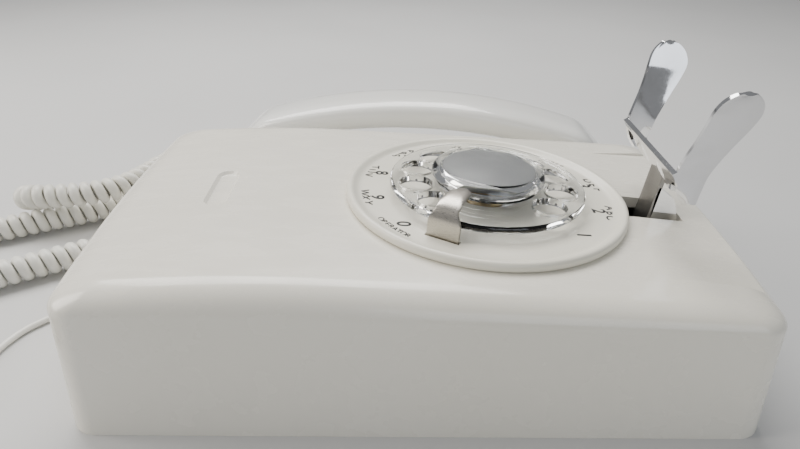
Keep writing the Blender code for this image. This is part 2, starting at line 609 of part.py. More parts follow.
def build_hub(dial):
    skirt = CARD_RADIUS + 0.5 * MM
    ceiling = CARD_BOTTOM + CARD_THICKNESS + GAP
    profile = [(0, CAP_TOP), (CARD_RADIUS, CAP_TOP), (CAP_RADIUS - 1.6 * MM, CAP_TOP - 0.8 * MM),
               (CAP_RADIUS, CAP_TOP - 2.4 * MM), (CAP_RADIUS, CAP_BOTTOM), (skirt, CAP_BOTTOM),
               (skirt, ceiling), (0, ceiling)]
    add_object("hub_cap", turned_bmesh(profile, 32), CLEAR_LOOK, dial)
    card = cylinder_bmesh(CARD_RADIUS, CARD_BOTTOM, CARD_BOTTOM + CARD_THICKNESS, 32)
    add_object("dial_centre_card", card, CARD_LOOK, dial)
    shaft = turned_bmesh([(0, SHAFT_END), (DIAL_SHAFT_RADIUS, SHAFT_END), (DIAL_SHAFT_RADIUS, CAP_BOTTOM),
                          (7 * MM, CAP_BOTTOM), (7 * MM, CARD_BOTTOM - GAP), (0, CARD_BOTTOM - GAP)], 16)
    add_object("dial_shaft", shaft, ZINC_LOOK, dial)


def build_dial_frame(dial):
    top = FRAME_TOP
    frame = add_object("dial_frame", ring_bmesh(BUSH_RADIUS + GAP, DIAL_FRAME_RADIUS, FRAME_BOTTOM, top),
                       ZINC_LOOK, dial)
    x, y = polar(MAIN_CENTRES, SECOND_ANGLE)
    hole = cylinder_bmesh(ARBOR_RADIUS + GAP, -8 * MM, 4 * MM, 16)
    cut(frame, place(hole, Matrix.Translation((x, y, 0))), dial)
    inner = DIAL_SHAFT_RADIUS + GAP
    flange_top = top + GAP + 1.2 * MM
    flange = BUSH_RADIUS + 2.4 * MM
    bush = [(inner, -10 * MM), (BUSH_RADIUS, -10 * MM), (BUSH_RADIUS, top + GAP), (flange, top + GAP),
            (flange, flange_top), (inner, flange_top)]
    add_object("dial_bearing_bush", turned_bmesh(bush, 16), BRASS_LOOK, dial)


def build_gear_train(dial, second_axis, governor_axis):
    main = prism_bmesh(gear_outline(MAIN_TEETH, MAIN_MODULE), MAIN_GEAR_Z, MAIN_GEAR_Z + 1.6 * MM)
    gear = add_object("main_gear", main, BRASS_LOOK, dial, smooth=False)
    cut(gear, cylinder_bmesh(DIAL_SHAFT_RADIUS + GAP, MAIN_GEAR_Z - MM, MAIN_GEAR_Z + 3 * MM, 16), dial)
    cam = [(DIAL_SHAFT_RADIUS + GAP, MAIN_GEAR_Z - 3.5 * MM), (9 * MM, MAIN_GEAR_Z - 3.5 * MM),
           (9 * MM, MAIN_GEAR_Z - GAP), (DIAL_SHAFT_RADIUS + GAP, MAIN_GEAR_Z - GAP)]
    add_object("pulse_cam", turned_bmesh(cam, 16), BLACK_LOOK, dial)

    # the pinion is turned half a tooth where it faces the main gear, so that teeth meet gaps
    pinion = prism_bmesh(gear_outline(PINION_TEETH, MAIN_MODULE), MAIN_GEAR_Z - 0.6 * MM,
                         MAIN_GEAR_Z + 2.2 * MM)
    main_phase = (SECOND_ANGLE * MAIN_TEETH / (2 * math.pi)) % 1.0
    facing = SECOND_ANGLE + math.pi
    pinion_turn = facing - (0.5 - main_phase) * 2 * math.pi / PINION_TEETH
    place(pinion, Euler((0, 0, pinion_turn)).to_matrix().to_4x4())
    second = add_object("intermediate_gear", pinion, BRASS_LOOK, second_axis, smooth=False)
    arbor = cylinder_bmesh(ARBOR_RADIUS, SECOND_GEAR_Z - 1.5 * MM, FRAME_TOP - MM, 12)
    join(second, arbor, second_axis)
    join(second, cylinder_bmesh(3 * MM, SECOND_GEAR_Z + 0.8 * MM, MAIN_GEAR_Z, 12), second_axis)
    wheel = prism_bmesh(gear_outline(SECOND_TEETH, SECOND_MODULE), SECOND_GEAR_Z, SECOND_GEAR_Z + 1.4 * MM)
    join(second, wheel, second_axis)

    rotor = prism_bmesh(gear_outline(GOVERNOR_TEETH, SECOND_MODULE), SECOND_GEAR_Z - 0.5 * MM,
                        SECOND_GEAR_Z + 2 * MM)
    second_phase = (GOVERNOR_ANGLE * SECOND_TEETH / (2 * math.pi)) % 1.0
    rotor_turn = GOVERNOR_ANGLE + math.pi - (0.5 - second_phase) * 2 * math.pi / GOVERNOR_TEETH
    place(rotor, Euler((0, 0, rotor_turn)).to_matrix().to_4x4())
    governor = add_object("governor_rotor", rotor, BRASS_LOOK, governor_axis, smooth=False)
    arbor = cylinder_bmesh(ARBOR_RADIUS, SECOND_GEAR_Z - 7 * MM, SECOND_GEAR_Z + 3.5 * MM, 12)
    join(governor, arbor, governor_axis)
    weights = box_bmesh((-6 * MM, -2 * MM, SECOND_GEAR_Z - 6 * MM), (6 * MM, 2 * MM, SECOND_GEAR_Z - 3 * MM))
    join(governor, weights, governor_axis)
    cup_low = SECOND_GEAR_Z - 9 * MM
    cup_rim = SECOND_GEAR_Z - 1.6 * MM
    cup = [(0, cup_low), (8.6 * MM, cup_low), (8.6 * MM, cup_rim), (7.4 * MM, cup_rim),
           (7.4 * MM, cup_low + 1.2 * MM), (0, cup_low + 1.2 * MM)]
    add_object("governor_cup", turned_bmesh(cup, 20), BRASS_LOOK, governor_axis)


def build_pulse_contacts(dial):
    block = box_bmesh((-32 * MM, -8 * MM, -22 * MM), (-28 * MM, 8 * MM, FRAME_BOTTOM - GAP))
    item = add_object("pulse_contact_block", block, BLACK_LOOK, dial)
    for y in (-4 * MM, 4 * MM):
        spring = box_bmesh((-29 * MM, y - 2 * MM, -17.6 * MM), (-11 * MM, y + 2 * MM, -17.2 * MM))
        join(item, spring, dial)


def build_dial_bracket(dial):
    """Bridge over the works: one foot on the base plate at each side, its ears under the dial frame."""
    y_out = DIAL_FRAME_RADIUS + 5 * MM
    y_ear = DIAL_FRAME_RADIUS - 5 * MM
    ear = FRAME_BOTTOM - GAP
    foot = -(FACE_HEIGHT - BASE_THICKNESS) + 1.4 * MM
    sheet = 1.6 * MM
    for name, side in (("dial_bracket_left", 1), ("dial_bracket_right", -1)):
        profile = [(y_ear, ear), (y_out, ear), (y_out, foot + sheet), (y_out + 9 * MM, foot + sheet),
                   (y_out + 9 * MM, foot), (y_out - sheet, foot), (y_out - sheet, ear - sheet),
                   (y_ear, ear - sheet)]
        rings = [[(x, side * y, z) for y, z in profile] for x in (-8 * MM, 8 * MM)]
        add_object(name, rings_to_bmesh(rings), ZINC_LOOK, dial)


def build_dial():
    centre = (DIAL_X, 0, FACE_HEIGHT)
    tilt = (0, FACE_TILT, 0)
    dial = make_empty("dial_axis", centre, tilt)
    matrix = Matrix.Translation(centre) @ Euler(tilt).to_matrix().to_4x4()
    second = Vector((*polar(MAIN_CENTRES, SECOND_ANGLE), 0))
    governor = second + Vector((*polar(SECOND_CENTRES, GOVERNOR_ANGLE), 0))
    second_axis = make_empty("intermediate_axis", matrix @ second, tilt)
    governor_axis = make_empty("governor_axis", matrix @ governor, tilt)
    build_number_plate(dial)
    build_finger_stop(dial)
    build_finger_wheel(dial)
    build_hub(dial)
    build_dial_frame(dial)
    build_gear_train(dial, second_axis, governor_axis)
    build_pulse_contacts(dial)
    build_dial_bracket(dial)
    return dial


# ---- hook switch ----
def from_pivot(x, z):
    """Metres from the hook pivot, for a point of the fork's shapes."""
    return (x * MM, z * MM - HOOK_PIVOT_Z)


def prong_bmesh(side):
    rings = []
    for height, front, back, flare in PRONG_LEVELS:
        inner = side * (FORK_HALF_GAP + flare * MM)
        outer = inner + side * FORK_SHEET
        front_x, z = from_pivot(front, height)
        back_x = back * MM
        rings.append([(front_x, inner, z), (back_x, inner, z), (back_x, outer, z), (front_x, outer, z)])
    return rings_to_bmesh(rings)


def bridge_bmesh():
    """Sloping plate between the prongs, deeper in the middle."""
    down = Vector((math.cos(BRIDGE_SLOPE), -math.sin(BRIDGE_SLOPE)))
    across = Vector((down.y, -down.x)) * -FORK_SHEET
    top = Vector(from_pivot(*FORK_TOP_EDGE))
    reach = FORK_HALF_GAP + FORK_SHEET
    rings = []
    for y, drop in ((-reach, 9 * MM), (-20 * MM, 11.5 * MM), (-12 * MM, 15.5 * MM), (12 * MM, 15.5 * MM),
                    (20 * MM, 11.5 * MM), (reach, 9 * MM)):
        foot = top + down * drop
        rings.append([(top.x, y, top.y), (foot.x, y, foot.y), (foot.x + across.x, y, foot.y + across.y),
                      (top.x + across.x, y, top.y + across.y)])
    return rings_to_bmesh(rings)


def build_hook(axis):
    fork = add_object("hook_fork", prong_bmesh(1), CHROME_LOOK, axis)
    join(fork, prong_bmesh(-1), axis)
    join(fork, bridge_bmesh(), axis)
    join(fork, side_prism_bmesh([from_pivot(x, z) for x, z in STEM], -7 * MM, 5 * MM), axis)
    join(fork, side_prism_bmesh([from_pivot(x, z) for x, z in WEB], -7 * MM, -5.4 * MM), axis)

    barrel = along_y(cylinder_bmesh(4 * MM, -9 * MM, 9 * MM, 20), (0, 0, 0))
    lever = add_object("hook_lever", barrel, ZINC_LOOK, axis)
    plate = box_bmesh((1.2 * MM, -6 * MM, 0), (2.8 * MM, 4 * MM, 24 * MM))
    join(lever, plate, axis)
    tail = box_bmesh((-14 * MM, -4 * MM, -1 * MM), (-MM, 4 * MM, MM))
    join(lever, tail, axis)
    bore = along_y(cylinder_bmesh(HOOK_PIN_RADIUS + GAP, -12 * MM, 12 * MM, 20), (0, 0, 0))
    cut(lever, bore, axis)


def build_hook_support():
    x, _, z = HOOK_PIVOT
    outer, inner = 13 * MM, 11.4 * MM
    ear_top = z + 6 * MM
    floor = DECK + 1.6 * MM
    profile = [(-outer, DECK), (outer, DECK), (outer, ear_top), (inner, ear_top), (inner, floor),
               (-inner, floor), (-inner, ear_top), (-outer, ear_top)]
    rings = [[(side_x, y, h) for y, h in profile] for side_x in (x - 8 * MM, x + 8 * MM)]
    bracket = add_object("hook_bracket", rings_to_bmesh(rings), ZINC_LOOK)
    cut(bracket, along_y(cylinder_bmesh(HOOK_PIN_RADIUS + GAP, -20 * MM, 20 * MM, 20), HOOK_PIVOT))
    pin = along_y(cylinder_bmesh(HOOK_PIN_RADIUS, -15 * MM, 15 * MM, 20), HOOK_PIVOT)
    add_object("hook_pivot_pin", pin, ZINC_LOOK)
    spring = ring_bmesh(HOOK_PIN_RADIUS + GAP, 3.6 * MM, 9.4 * MM, 11 * MM, 20)
    add_object("hook_torsion_spring", along_y(spring, HOOK_PIVOT), ZINC_LOOK)
    stack = box_bmesh((x - 23 * MM, -6 * MM, DECK), (x - 9 * MM, 6 * MM, z - 2.8 * MM))
    add_object("hookswitch_contacts", stack, BLACK_LOOK)


# ---- ringer and network ----
def gong_bmesh(radius):
    """Bell with its mouth at the back and a bored crown."""
    bottom, sheet = GONG_BOTTOM, BELL_SHEET
    crown = bottom + GONG_HEIGHT
    bore = STUD_RADIUS + GAP
    profile = [(radius - sheet, bottom), (radius, bottom), (radius - 0.5 * MM, crown - 7 * MM),
               (radius - 4 * MM, crown - 2.5 * MM), (radius - 11 * MM, crown - 0.4 * MM), (bore, crown),
               (bore, crown - sheet), (radius - 11.4 * MM, crown - 0.4 * MM - sheet),
               (radius - 4.9 * MM, crown - 2.5 * MM - sheet * 0.9),
               (radius - 0.5 * MM - sheet, crown - 7.6 * MM)]
    return turned_bmesh(profile, 24)


def build_ringer(clapper_axis):
    crown = GONG_BOTTOM + GONG_HEIGHT
    shelf = crown - BELL_SHEET - GAP
    for size, radius, side in (("large", LARGE_GONG, -1), ("small", SMALL_GONG, 1)):
        spot = Matrix.Translation((GONG_X, side * (radius + GONG_CLEARANCE), 0))
        add_object(f"gong_{size}", place(gong_bmesh(radius), spot), BRASS_LOOK)
        post = [(0, DECK), (4.5 * MM, DECK), (4.5 * MM, shelf), (STUD_RADIUS + GAP, shelf),
                (STUD_RADIUS + GAP, DECK + 8 * MM), (0, DECK + 8 * MM)]
        add_object(f"gong_post_{size}", place(turned_bmesh(post, 16), spot), ZINC_LOOK)
        screw = [(0, DECK + 9 * MM), (STUD_RADIUS, DECK + 9 * MM), (STUD_RADIUS, crown + GAP),
                 (4.2 * MM, crown + GAP), (4.2 * MM, crown + 1.4 * MM), (3.4 * MM, crown + 2.4 * MM),
                 (0, crown + 2.4 * MM)]
        add_object(f"gong_screw_{size}", place(turned_bmesh(screw, 12), spot), ZINC_LOOK)
    cheek_in, cheek_out = 20 * MM, 21.6 * MM
    floor = DECK + 1.6 * MM
    top = COIL_Z + 9 * MM
    profile = [(-cheek_out, DECK), (cheek_out, DECK), (cheek_out, top), (cheek_in, top), (cheek_in, floor),
               (-cheek_in, floor), (-cheek_in, top), (-cheek_out, top)]
    rings = [[(x, y, z) for y, z in profile] for x in (CLAPPER_X - 5 * MM, RINGER_END)]
    add_object("ringer_frame", rings_to_bmesh(rings), ZINC_LOOK)
    spot = (COIL_X, 0, COIL_Z)
    core = 4 * MM
    bar = cylinder_bmesh(core, GAP - cheek_in, cheek_in - GAP, 16)
    add_object("ringer_core", along_y(bar, spot), ZINC_LOOK)
    coil = ring_bmesh(core + GAP, 10.8 * MM, -17 * MM, 17 * MM, 20)
    add_object("ringer_coil", along_y(coil, spot), COPPER_LOOK)
    pin = cylinder_bmesh(CLAPPER_PIN, floor + GAP, CLAPPER_Z + 5 * MM, 12)
    add_object("clapper_pivot_pin", place(pin, Matrix.Translation((CLAPPER_X, 0, 0))), ZINC_LOOK)

    # the clapper, in the frame of its own pivot
    arm_half = 0.8 * MM
    clapper = add_object("clapper", box_bmesh((-2.4 * MM, -14 * MM, -3 * MM), (1.8 * MM, 14 * MM, 3 * MM)),
                         ZINC_LOOK, clapper_axis)
    arm = box_bmesh((-CLAPPER_FROM_GONG, -arm_half, -arm_half), (-2 * MM, arm_half, arm_half))
    join(clapper, arm, clapper_axis)
    cut(clapper, cylinder_bmesh(CLAPPER_PIN + GAP, -5 * MM, 5 * MM, 12), clapper_axis)
    ball = bmesh.new()
    bmesh.ops.create_uvsphere(ball, u_segments=12, v_segments=8, radius=CLAPPER_BALL)
    join(clapper, place(ball, Matrix.Translation((-CLAPPER_FROM_GONG, 0, 0))), clapper_axis)


def build_volume_wheel(axis):
    wheel = ring_bmesh(STUD_RADIUS + GAP, VOLUME_RADIUS, -1.4 * MM, 1.4 * MM, 24)
    add_object("ringer_volume_wheel", wheel, CORD_LOOK, axis)
    stud = cylinder_bmesh(STUD_RADIUS, DECK, VOLUME_Z + 2.6 * MM, 16)
    spot = Matrix.Translation((axis.location.x, axis.location.y, 0))
    add_object("volume_wheel_stud", place(stud, spot), ZINC_LOOK)


def build_network():
    """Moulded block with three screw terminals, and the terminal block for the line."""
    block = box_bmesh((*NETWORK_LOW, DECK), (*NETWORK_HIGH, NETWORK_TOP))
    add_object("network_block", block, BLACK_LOOK)
    for k in range(3):
        x = NETWORK_LOW[0] + (12 + 18 * k) * MM
        screw = cylinder_bmesh(2.6 * MM, NETWORK_TOP + GAP, NETWORK_TOP + 2.2 * MM, 12)
        spot = Matrix.Translation((x, NETWORK_LOW[1] + 6 * MM, 0))
        add_object(f"network_terminal_{k + 1}", place(screw, spot), BRASS_LOOK)
    left = BOTTOM_WALL_X + 10 * MM
    block = box_bmesh((left, LINE_EXIT_Y - 8 * MM, DECK),
                      (left + 14 * MM, LINE_EXIT_Y + 8 * MM, DECK + 8 * MM))
    add_object("line_terminal_block", block, BLACK_LOOK)


# ---- handset, in its own frame: X along it, Z up from the surface it lies on ----
def head_matrix(side):
    lift = CAP_RIM_RADIUS * math.sin(HANDSET_TILT)
    return (Matrix.Translation((side * HANDSET_HALF_SPAN, 0, lift))
            @ Euler((0, side * HANDSET_TILT, 0)).to_matrix().to_4x4())


def handle_bmesh():
    """Arched bar between the two heads, its back slightly crowned, both ends rounded off."""
    stations = [HANDSET_HALF_SPAN * share for share in (0.21, 0.42, 0.63, 0.84, 1.04)]
    ends = [(15, 0.5, 0.94, 15), (19, 2.4, 0.80, 12), (21.5, 6.0, 0.55, 8)]

    def ring(x, drop, share, depth):
        top = HANDLE_TOP - x * x / (2 * HANDLE_ARC_RADIUS) - drop
        half = HANDLE_HALF_WIDTH * share
        shape = [(0, 0), (0.5, 0.6 * MM), (0.86, 2.0 * MM), (1.0, 4.2 * MM), (0.97, depth - 3.5 * MM),
                 (0.80, depth - 0.6 * MM), (0.5, depth)]
        right = [(x, half * y, top - z) for y, z in shape]
        left = [(x, -half * y, top - z) for y, z in reversed(shape[1:])]
        return right + left

    half_rings = [(x, 0, 1.0, HANDLE_DEPTH) for x in stations]
    for beyond, drop, share, depth in ends:
        half_rings.append((HANDSET_HALF_SPAN + beyond * MM, drop * MM, share, depth * MM))
    rings = [ring(-x, drop, share, depth) for x, drop, share, depth in reversed(half_rings)]
    rings.append(ring(0, 0, 1.0, HANDLE_DEPTH))
    rings.extend(ring(x, drop, share, depth) for x, drop, share, depth in half_rings)
    return rings_to_bmesh(rings)


def build_handset(rest):
    handle = add_object("handset_handle", handle_bmesh(), HANDSET_LOOK, rest)
    rim = CAP_RIM_RADIUS
    neck = rim - CAP_WALL - GAP
    base = CAP_HEIGHT + GAP
    pocket_floor = 3 * MM
    dome = [(rim * share, HEAD_HEIGHT * height)
            for share, height in ((0, 1.0), (0.42, 0.947), (0.70, 0.816), (0.877, 0.632), (0.961, 0.421))]
    dome += [(rim - 0.7 * MM, base), (neck, base), (neck, pocket_floor), (HEAD_POCKET_RADIUS, pocket_floor),
             (HEAD_POCKET_RADIUS, POCKET_DEPTH), (0, POCKET_DEPTH)]
    cap = [(0, 0), (rim - 1.5 * MM, 0), (rim, 1.5 * MM), (rim, CAP_HEIGHT), (neck + GAP, CAP_HEIGHT),
           (neck + GAP, CAP_WALL), (0, CAP_WALL)]
    back = HEAD_POCKET_RADIUS - 0.5 * MM
    unit = [(0, 3.4 * MM), (back - 3 * MM, 3.4 * MM), (back, 5 * MM), (back, 14 * MM),
            (back - 6 * MM, 17.4 * MM), (0, 17.4 * MM)]
    for name, side, holes in (("transmitter", -1, 8), ("receiver", 1, 6)):
        matrix = head_matrix(side)
        join(handle, place(turned_bmesh(dome, 32), matrix), rest)
        cover = add_object(f"{name}_cap", place(turned_bmesh(cap, 32), matrix), HANDSET_LOOK, rest)
        drills = [polar(9 * MM, 2 * math.pi * (k + 0.2) / holes) for k in range(holes)]
        for x, y in drills:
            drill = place(cylinder_bmesh(1.3 * MM, -4 * MM, CAP_WALL + MM, 6), Matrix.Translation((x, y, 0)))
            cut(cover, place(drill, matrix), rest)
        add_object(f"{name}_unit", place(turned_bmesh(unit, 24), matrix), ZINC_LOOK, rest)
    socket = cylinder_bmesh(3.5 * MM, -9.5 * MM, 6.5 * MM, 16)
    cut(handle, along_x(socket, (-HANDSET_END, 0, BUSH_Z)), rest)
    bush = turned_bmesh([(0, 0), (3.6 * MM, 0), (4.4 * MM, 0.8 * MM), (4.4 * MM, 3.4 * MM),
                         (3.2 * MM, 3.8 * MM), (3.2 * MM, 9.4 * MM), (0, 9.4 * MM)], 16)
    add_object("handset_cord_bush", along_x(bush, (-HANDSET_END - 7 * MM, 0, BUSH_Z)), CORD_LOOK, rest)


# ---- cords ----
def smooth_route(route, spacing):
    """Points at even spacing along a smooth curve through every point of the route."""
    points = [Vector(p) * MM for p in route]
    padded = [2 * points[0] - points[1]] + points + [2 * points[-1] - points[-2]]
    dense = []
    for k in range(1, len(padded) - 2):
        a, b, c, d = padded[k - 1:k + 3]
        for step in range(24):
            t = step / 24
            dense.append(0.5 * (2 * b + (c - a) * t + (2 * a - 5 * b + 4 * c - d) * t * t
                                + (3 * b - 3 * c + d - a) * t * t * t))
    dense.append(points[-1])
    total = sum((q - p).length for p, q in zip(dense, dense[1:]))
    count = max(2, round(total / spacing))
    result = [dense[0]]
    travelled = 0.0
    for p, q in zip(dense, dense[1:]):
        step = (q - p).length
        while len(result) < count and travelled + step >= total * len(result) / count:
            share = (total * len(result) / count - travelled) / step
            result.append(p.lerp(q, share))
        travelled += step
    result.append(dense[-1])
    return result


def build_tube(name, route, diameter, spacing):
    curve = bpy.data.curves.new(name, "CURVE")
    curve.dimensions = "3D"
    curve.bevel_depth = diameter / 2
    curve.bevel_resolution = 2
    curve.use_fill_caps = True
    points = smooth_route(route, spacing)
    spline = curve.splines.new("POLY")
    spline.points.add(len(points) - 1)
    for slot, point in zip(spline.points, points):
        slot.co = (*point, 1.0)
    curve.materials.append(make_material(name, *CORD_LOOK))
    bpy.context.scene.collection.objects.link(bpy.data.objects.new(name, curve))


def build_cords():
    build_tube("handset_cord", HANDSET_CORD_ROUTE, CORD_DIAMETER, CORD_DIAMETER * 0.9)
    build_tube("line_cord", LINE_CORD_ROUTE, LINE_DIAMETER, LINE_DIAMETER * 2.5)
    build_tube("line_cord_tail", LINE_TAIL_ROUTE, LINE_DIAMETER, LINE_DIAMETER * 2.5)
    half = LINE_COIL_BUNDLE / 2
    corner = half * math.tan(math.pi / 8)
    mean = LINE_COIL_RADIUS
    section = [(mean - half, -corner), (mean - corner, -half), (mean + corner, -half),
               (mean + half, -corner), (mean + half, corner), (mean + corner, half),
               (mean - corner, half), (mean - half, corner)]
    coil = place(turned_bmesh(section, 28), Matrix.Translation(COIL_CENTRE))
    add_object("line_cord_coil", coil, CORD_LOOK)
    x, y, z = COIL_CENTRE
    band = half + GAP
    middle = y + mean
    outer = band + 0.6 * MM
    half_tie = 2.5 * MM
    tie = add_object("cord_tie", box_bmesh((x - half_tie, middle - outer, z - outer),
                                           (x + half_tie, middle + outer, z + outer)), BLACK_LOOK)
    bend = mean - math.sqrt(mean ** 2 - (half_tie + GAP) ** 2)
    cut(tie, box_bmesh((x - 4 * MM, middle - band - bend, z - band), (x + 4 * MM, middle + band, z + band)))
    x, y, z = PLUG_REAR
    body = box_bmesh((x - 4.8 * MM, y - 13 * MM, z - 3.3 * MM), (x + 4.8 * MM, y - GAP, z + 3.3 * MM))
    plug = add_object("line_plug", body, PLUG_LOOK)
    latch = box_bmesh((-1.6 * MM, -12.5 * MM, 0), (1.6 * MM, 4 * MM, 1.2 * MM))
    tilt = Euler((math.radians(9), 0, 0)).to_matrix().to_4x4()
    place(latch, Matrix.Translation((x, y, z + 4.3 * MM)) @ tilt)
    join(plug, latch)


def main():
    clear_scene()
    housing = build_housing()
    build_base()
    dial = build_dial()
    build_housing_openings(housing, dial)
    build_housing_fixings()
    build_strain_reliefs()
    build_hook(make_empty("hook_axis", HOOK_PIVOT))
    build_hook_support()
    build_ringer(make_empty("clapper_axis", (CLAPPER_X, 0, CLAPPER_Z)))
    build_volume_wheel(make_empty("volume_axis", (BOTTOM_WALL_X + 8.5 * MM, VOLUME_Y, VOLUME_Z)))
    build_network()
    build_handset(make_empty("handset_rest", (HANDSET_X, HANDSET_Y, 0), (0, 0, HANDSET_TURN)))
    build_cords()


main()
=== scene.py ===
# %% [markdown]
# # A rotary wall telephone
# The solid model comes in first and stays where it is. Everything below gives it its looks: finer
# shapes over the plain solids, real cords, and one painted finish for each material.
# %% Load the solid model
import json
import math

import bmesh
import bpy
from mathutils import Euler, Matrix, Vector


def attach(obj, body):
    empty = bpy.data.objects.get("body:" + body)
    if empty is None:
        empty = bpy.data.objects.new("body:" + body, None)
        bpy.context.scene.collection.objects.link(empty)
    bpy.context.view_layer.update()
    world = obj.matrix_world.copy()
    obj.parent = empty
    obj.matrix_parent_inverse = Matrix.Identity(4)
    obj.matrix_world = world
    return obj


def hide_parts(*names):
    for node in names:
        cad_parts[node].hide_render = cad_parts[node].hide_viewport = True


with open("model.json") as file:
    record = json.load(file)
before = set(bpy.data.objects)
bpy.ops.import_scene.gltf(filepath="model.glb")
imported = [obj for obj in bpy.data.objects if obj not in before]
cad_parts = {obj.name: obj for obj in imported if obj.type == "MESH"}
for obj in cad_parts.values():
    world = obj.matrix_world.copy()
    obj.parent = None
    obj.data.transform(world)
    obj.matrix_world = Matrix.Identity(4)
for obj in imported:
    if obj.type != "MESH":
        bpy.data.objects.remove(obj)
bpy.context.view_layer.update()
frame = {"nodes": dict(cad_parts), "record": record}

MM = 0.001
TAU = 2 * math.pi
nodes = frame["nodes"]

# %% [markdown]
# ## Camera
# The telephone lies on its back and is seen from its right side, from a little above. The camera's
# three axes are worked out from its pitch, its small turn and its small roll.
# %% Camera
PITCH, TURN, ROLL = 0.512, 0.010, 0.014
CAMERA_AT = Vector((-10.8, -227, 167.2)) * MM
FOCAL_LENGTH, SENSOR_WIDTH = 28.8, 36   # mm

ahead = Vector((
    math.sin(TURN) * math.cos(PITCH), math.cos(TURN) * math.cos(PITCH), -math.sin(PITCH)))
level_right = Vector((math.cos(TURN), -math.sin(TURN), 0))
level_up = level_right.cross(ahead)
right = math.cos(ROLL) * level_right + math.sin(ROLL) * level_up
up = -math.sin(ROLL) * level_right + math.cos(ROLL) * level_up

camera_data = bpy.data.cameras.new("camera")
camera_data.lens = FOCAL_LENGTH
camera_data.sensor_width = SENSOR_WIDTH
camera_data.clip_start = 0.01
camera = bpy.data.objects.new("camera", camera_data)
camera_axes = Matrix((right, up, -ahead)).transposed().to_4x4()
camera.matrix_world = Matrix.Translation(CAMERA_AT) @ camera_axes
bpy.context.scene.collection.objects.link(camera)
bpy.context.scene.camera = camera
print("camera at", tuple(round(v, 3) for v in CAMERA_AT))

# %% [markdown]
# ## Finishes
# Shader maths reads best as ordinary expressions. `Signal` wraps one output of a node, and its
# operators add Math nodes. `Finish` holds a material, makes every node, and sets the sockets of
# the surface shader. Colours are blended by Mix nodes, because a Math node would turn them grey.
# %% Shader helpers
class Signal:
    """One number that varies over a surface."""

    def __init__(self, finish, socket):
        self.finish = finish
        self.socket = socket

    def _math(self, operation, first, second):
        return self.finish.signal("ShaderNodeMath", {"operation": operation}, {0: first, 1: second})

    def __add__(self, other):
        return self._math("ADD", self, other)

    def __sub__(self, other):
        return self._math("SUBTRACT", self, other)

    def __rsub__(self, other):
        return self._math("SUBTRACT", other, self)

    def __mul__(self, other):
        return self._math("MULTIPLY", self, other)

    __radd__ = __add__
    __rmul__ = __mul__


class Finish:
    """A material with a Principled surface, and one method that makes its nodes."""

    def __init__(self, name, colour, roughness, **constants):
        self.material = bpy.data.materials.new(name)
        self.material.use_nodes = True
        self.tree = self.material.node_tree
        self.surface = self.tree.nodes["Principled BSDF"]
        self.surface.inputs["Base Color"].default_value = (*colour, 1)
        self.surface.inputs["Roughness"].default_value = roughness
        for socket, value in constants.items():
            self.surface.inputs[socket.replace("_", " ")].default_value = value
        self.material.diffuse_color = (*colour, 1)
        self.place = self.node("ShaderNodeTexCoord").outputs["Object"]

    def node(self, kind, settings=None, sockets=None):
        made = self.tree.nodes.new(kind)
        for key, value in (settings or {}).items():
            setattr(made, key, value)
        for key, value in (sockets or {}).items():
            if isinstance(value, Signal):
                value = value.socket
            if isinstance(value, bpy.types.NodeSocket):
                self.tree.links.new(value, made.inputs[key])
            else:
                made.inputs[key].default_value = value
        return made

    def signal(self, kind, settings=None, sockets=None, output=0):
        return Signal(self, self.node(kind, settings, sockets).outputs[output])

    def stretched(self, scale):
        """Object coordinates, scaled differently along each axis."""
        sockets = {"Vector": self.place, "Scale": scale}
        return self.node("ShaderNodeMapping", None, sockets).outputs[0]

    def noise(self, scale, detail=3.0, where=None):
        """Soft cloud of values from 0 to 1."""
        sockets = {"Vector": where or self.place, "Scale": scale, "Detail": detail}
        return self.signal("ShaderNodeTexNoise", None, sockets)

    def between(self, source, low, high, from_low=0.35, from_high=0.65):
        """Map a range of the source onto low..high."""
        sockets = {"Value": source, "From Min": from_low, "From Max": from_high,
                   "To Min": low, "To Max": high}
        return self.signal("ShaderNodeMapRange", {"clamp": True}, sockets)

    def blend(self, factor, first, second):
        """Colour between two colours."""
        mix = self.node("ShaderNodeMix", {"data_type": "RGBA"}, {"Factor": factor})
        for socket, value in ((mix.inputs[6], first), (mix.inputs[7], second)):
            if isinstance(value, bpy.types.NodeSocket):
                self.tree.links.new(value, socket)
            else:
                socket.default_value = (*value, 1)
        return mix.outputs[2]

    def feed(self, socket, value):
        if isinstance(value, Signal):
            value = value.socket
        self.tree.links.new(value, self.surface.inputs[socket])

    def bump(self, height, strength, distance):
        sockets = {"Height": height, "Strength": strength, "Distance": distance}
        self.feed("Normal", self.node("ShaderNodeBump", None, sockets).outputs[0])


def moulded(name, colour, aged, roughness, coat):
    """Moulded plastic: a slow drift of colour, faint handling marks, and a very fine skin."""
    finish = Finish(name, colour, roughness,
                    Coat_Weight=coat, Coat_Roughness=0.08, Specular_IOR_Level=0.5)
    drift = finish.between(finish.noise(9, 2), 0.0, 1.0)
    specks = finish.between(finish.noise(420, 5), 0.0, 0.25, 0.60, 0.75)
    finish.feed("Base Color", finish.blend(drift * 0.6 + specks * 0.3, colour, aged))
    marks = finish.noise(60, 6, finish.stretched((1, 3, 1)))
    finish.feed("Roughness", finish.between(marks, roughness - 0.04, roughness + 0.08))
    skin = finish.noise(1500, 2) + finish.noise(90, 2) * 1.5
    finish.bump(skin, 0.10, 0.00006)
    return finish.material


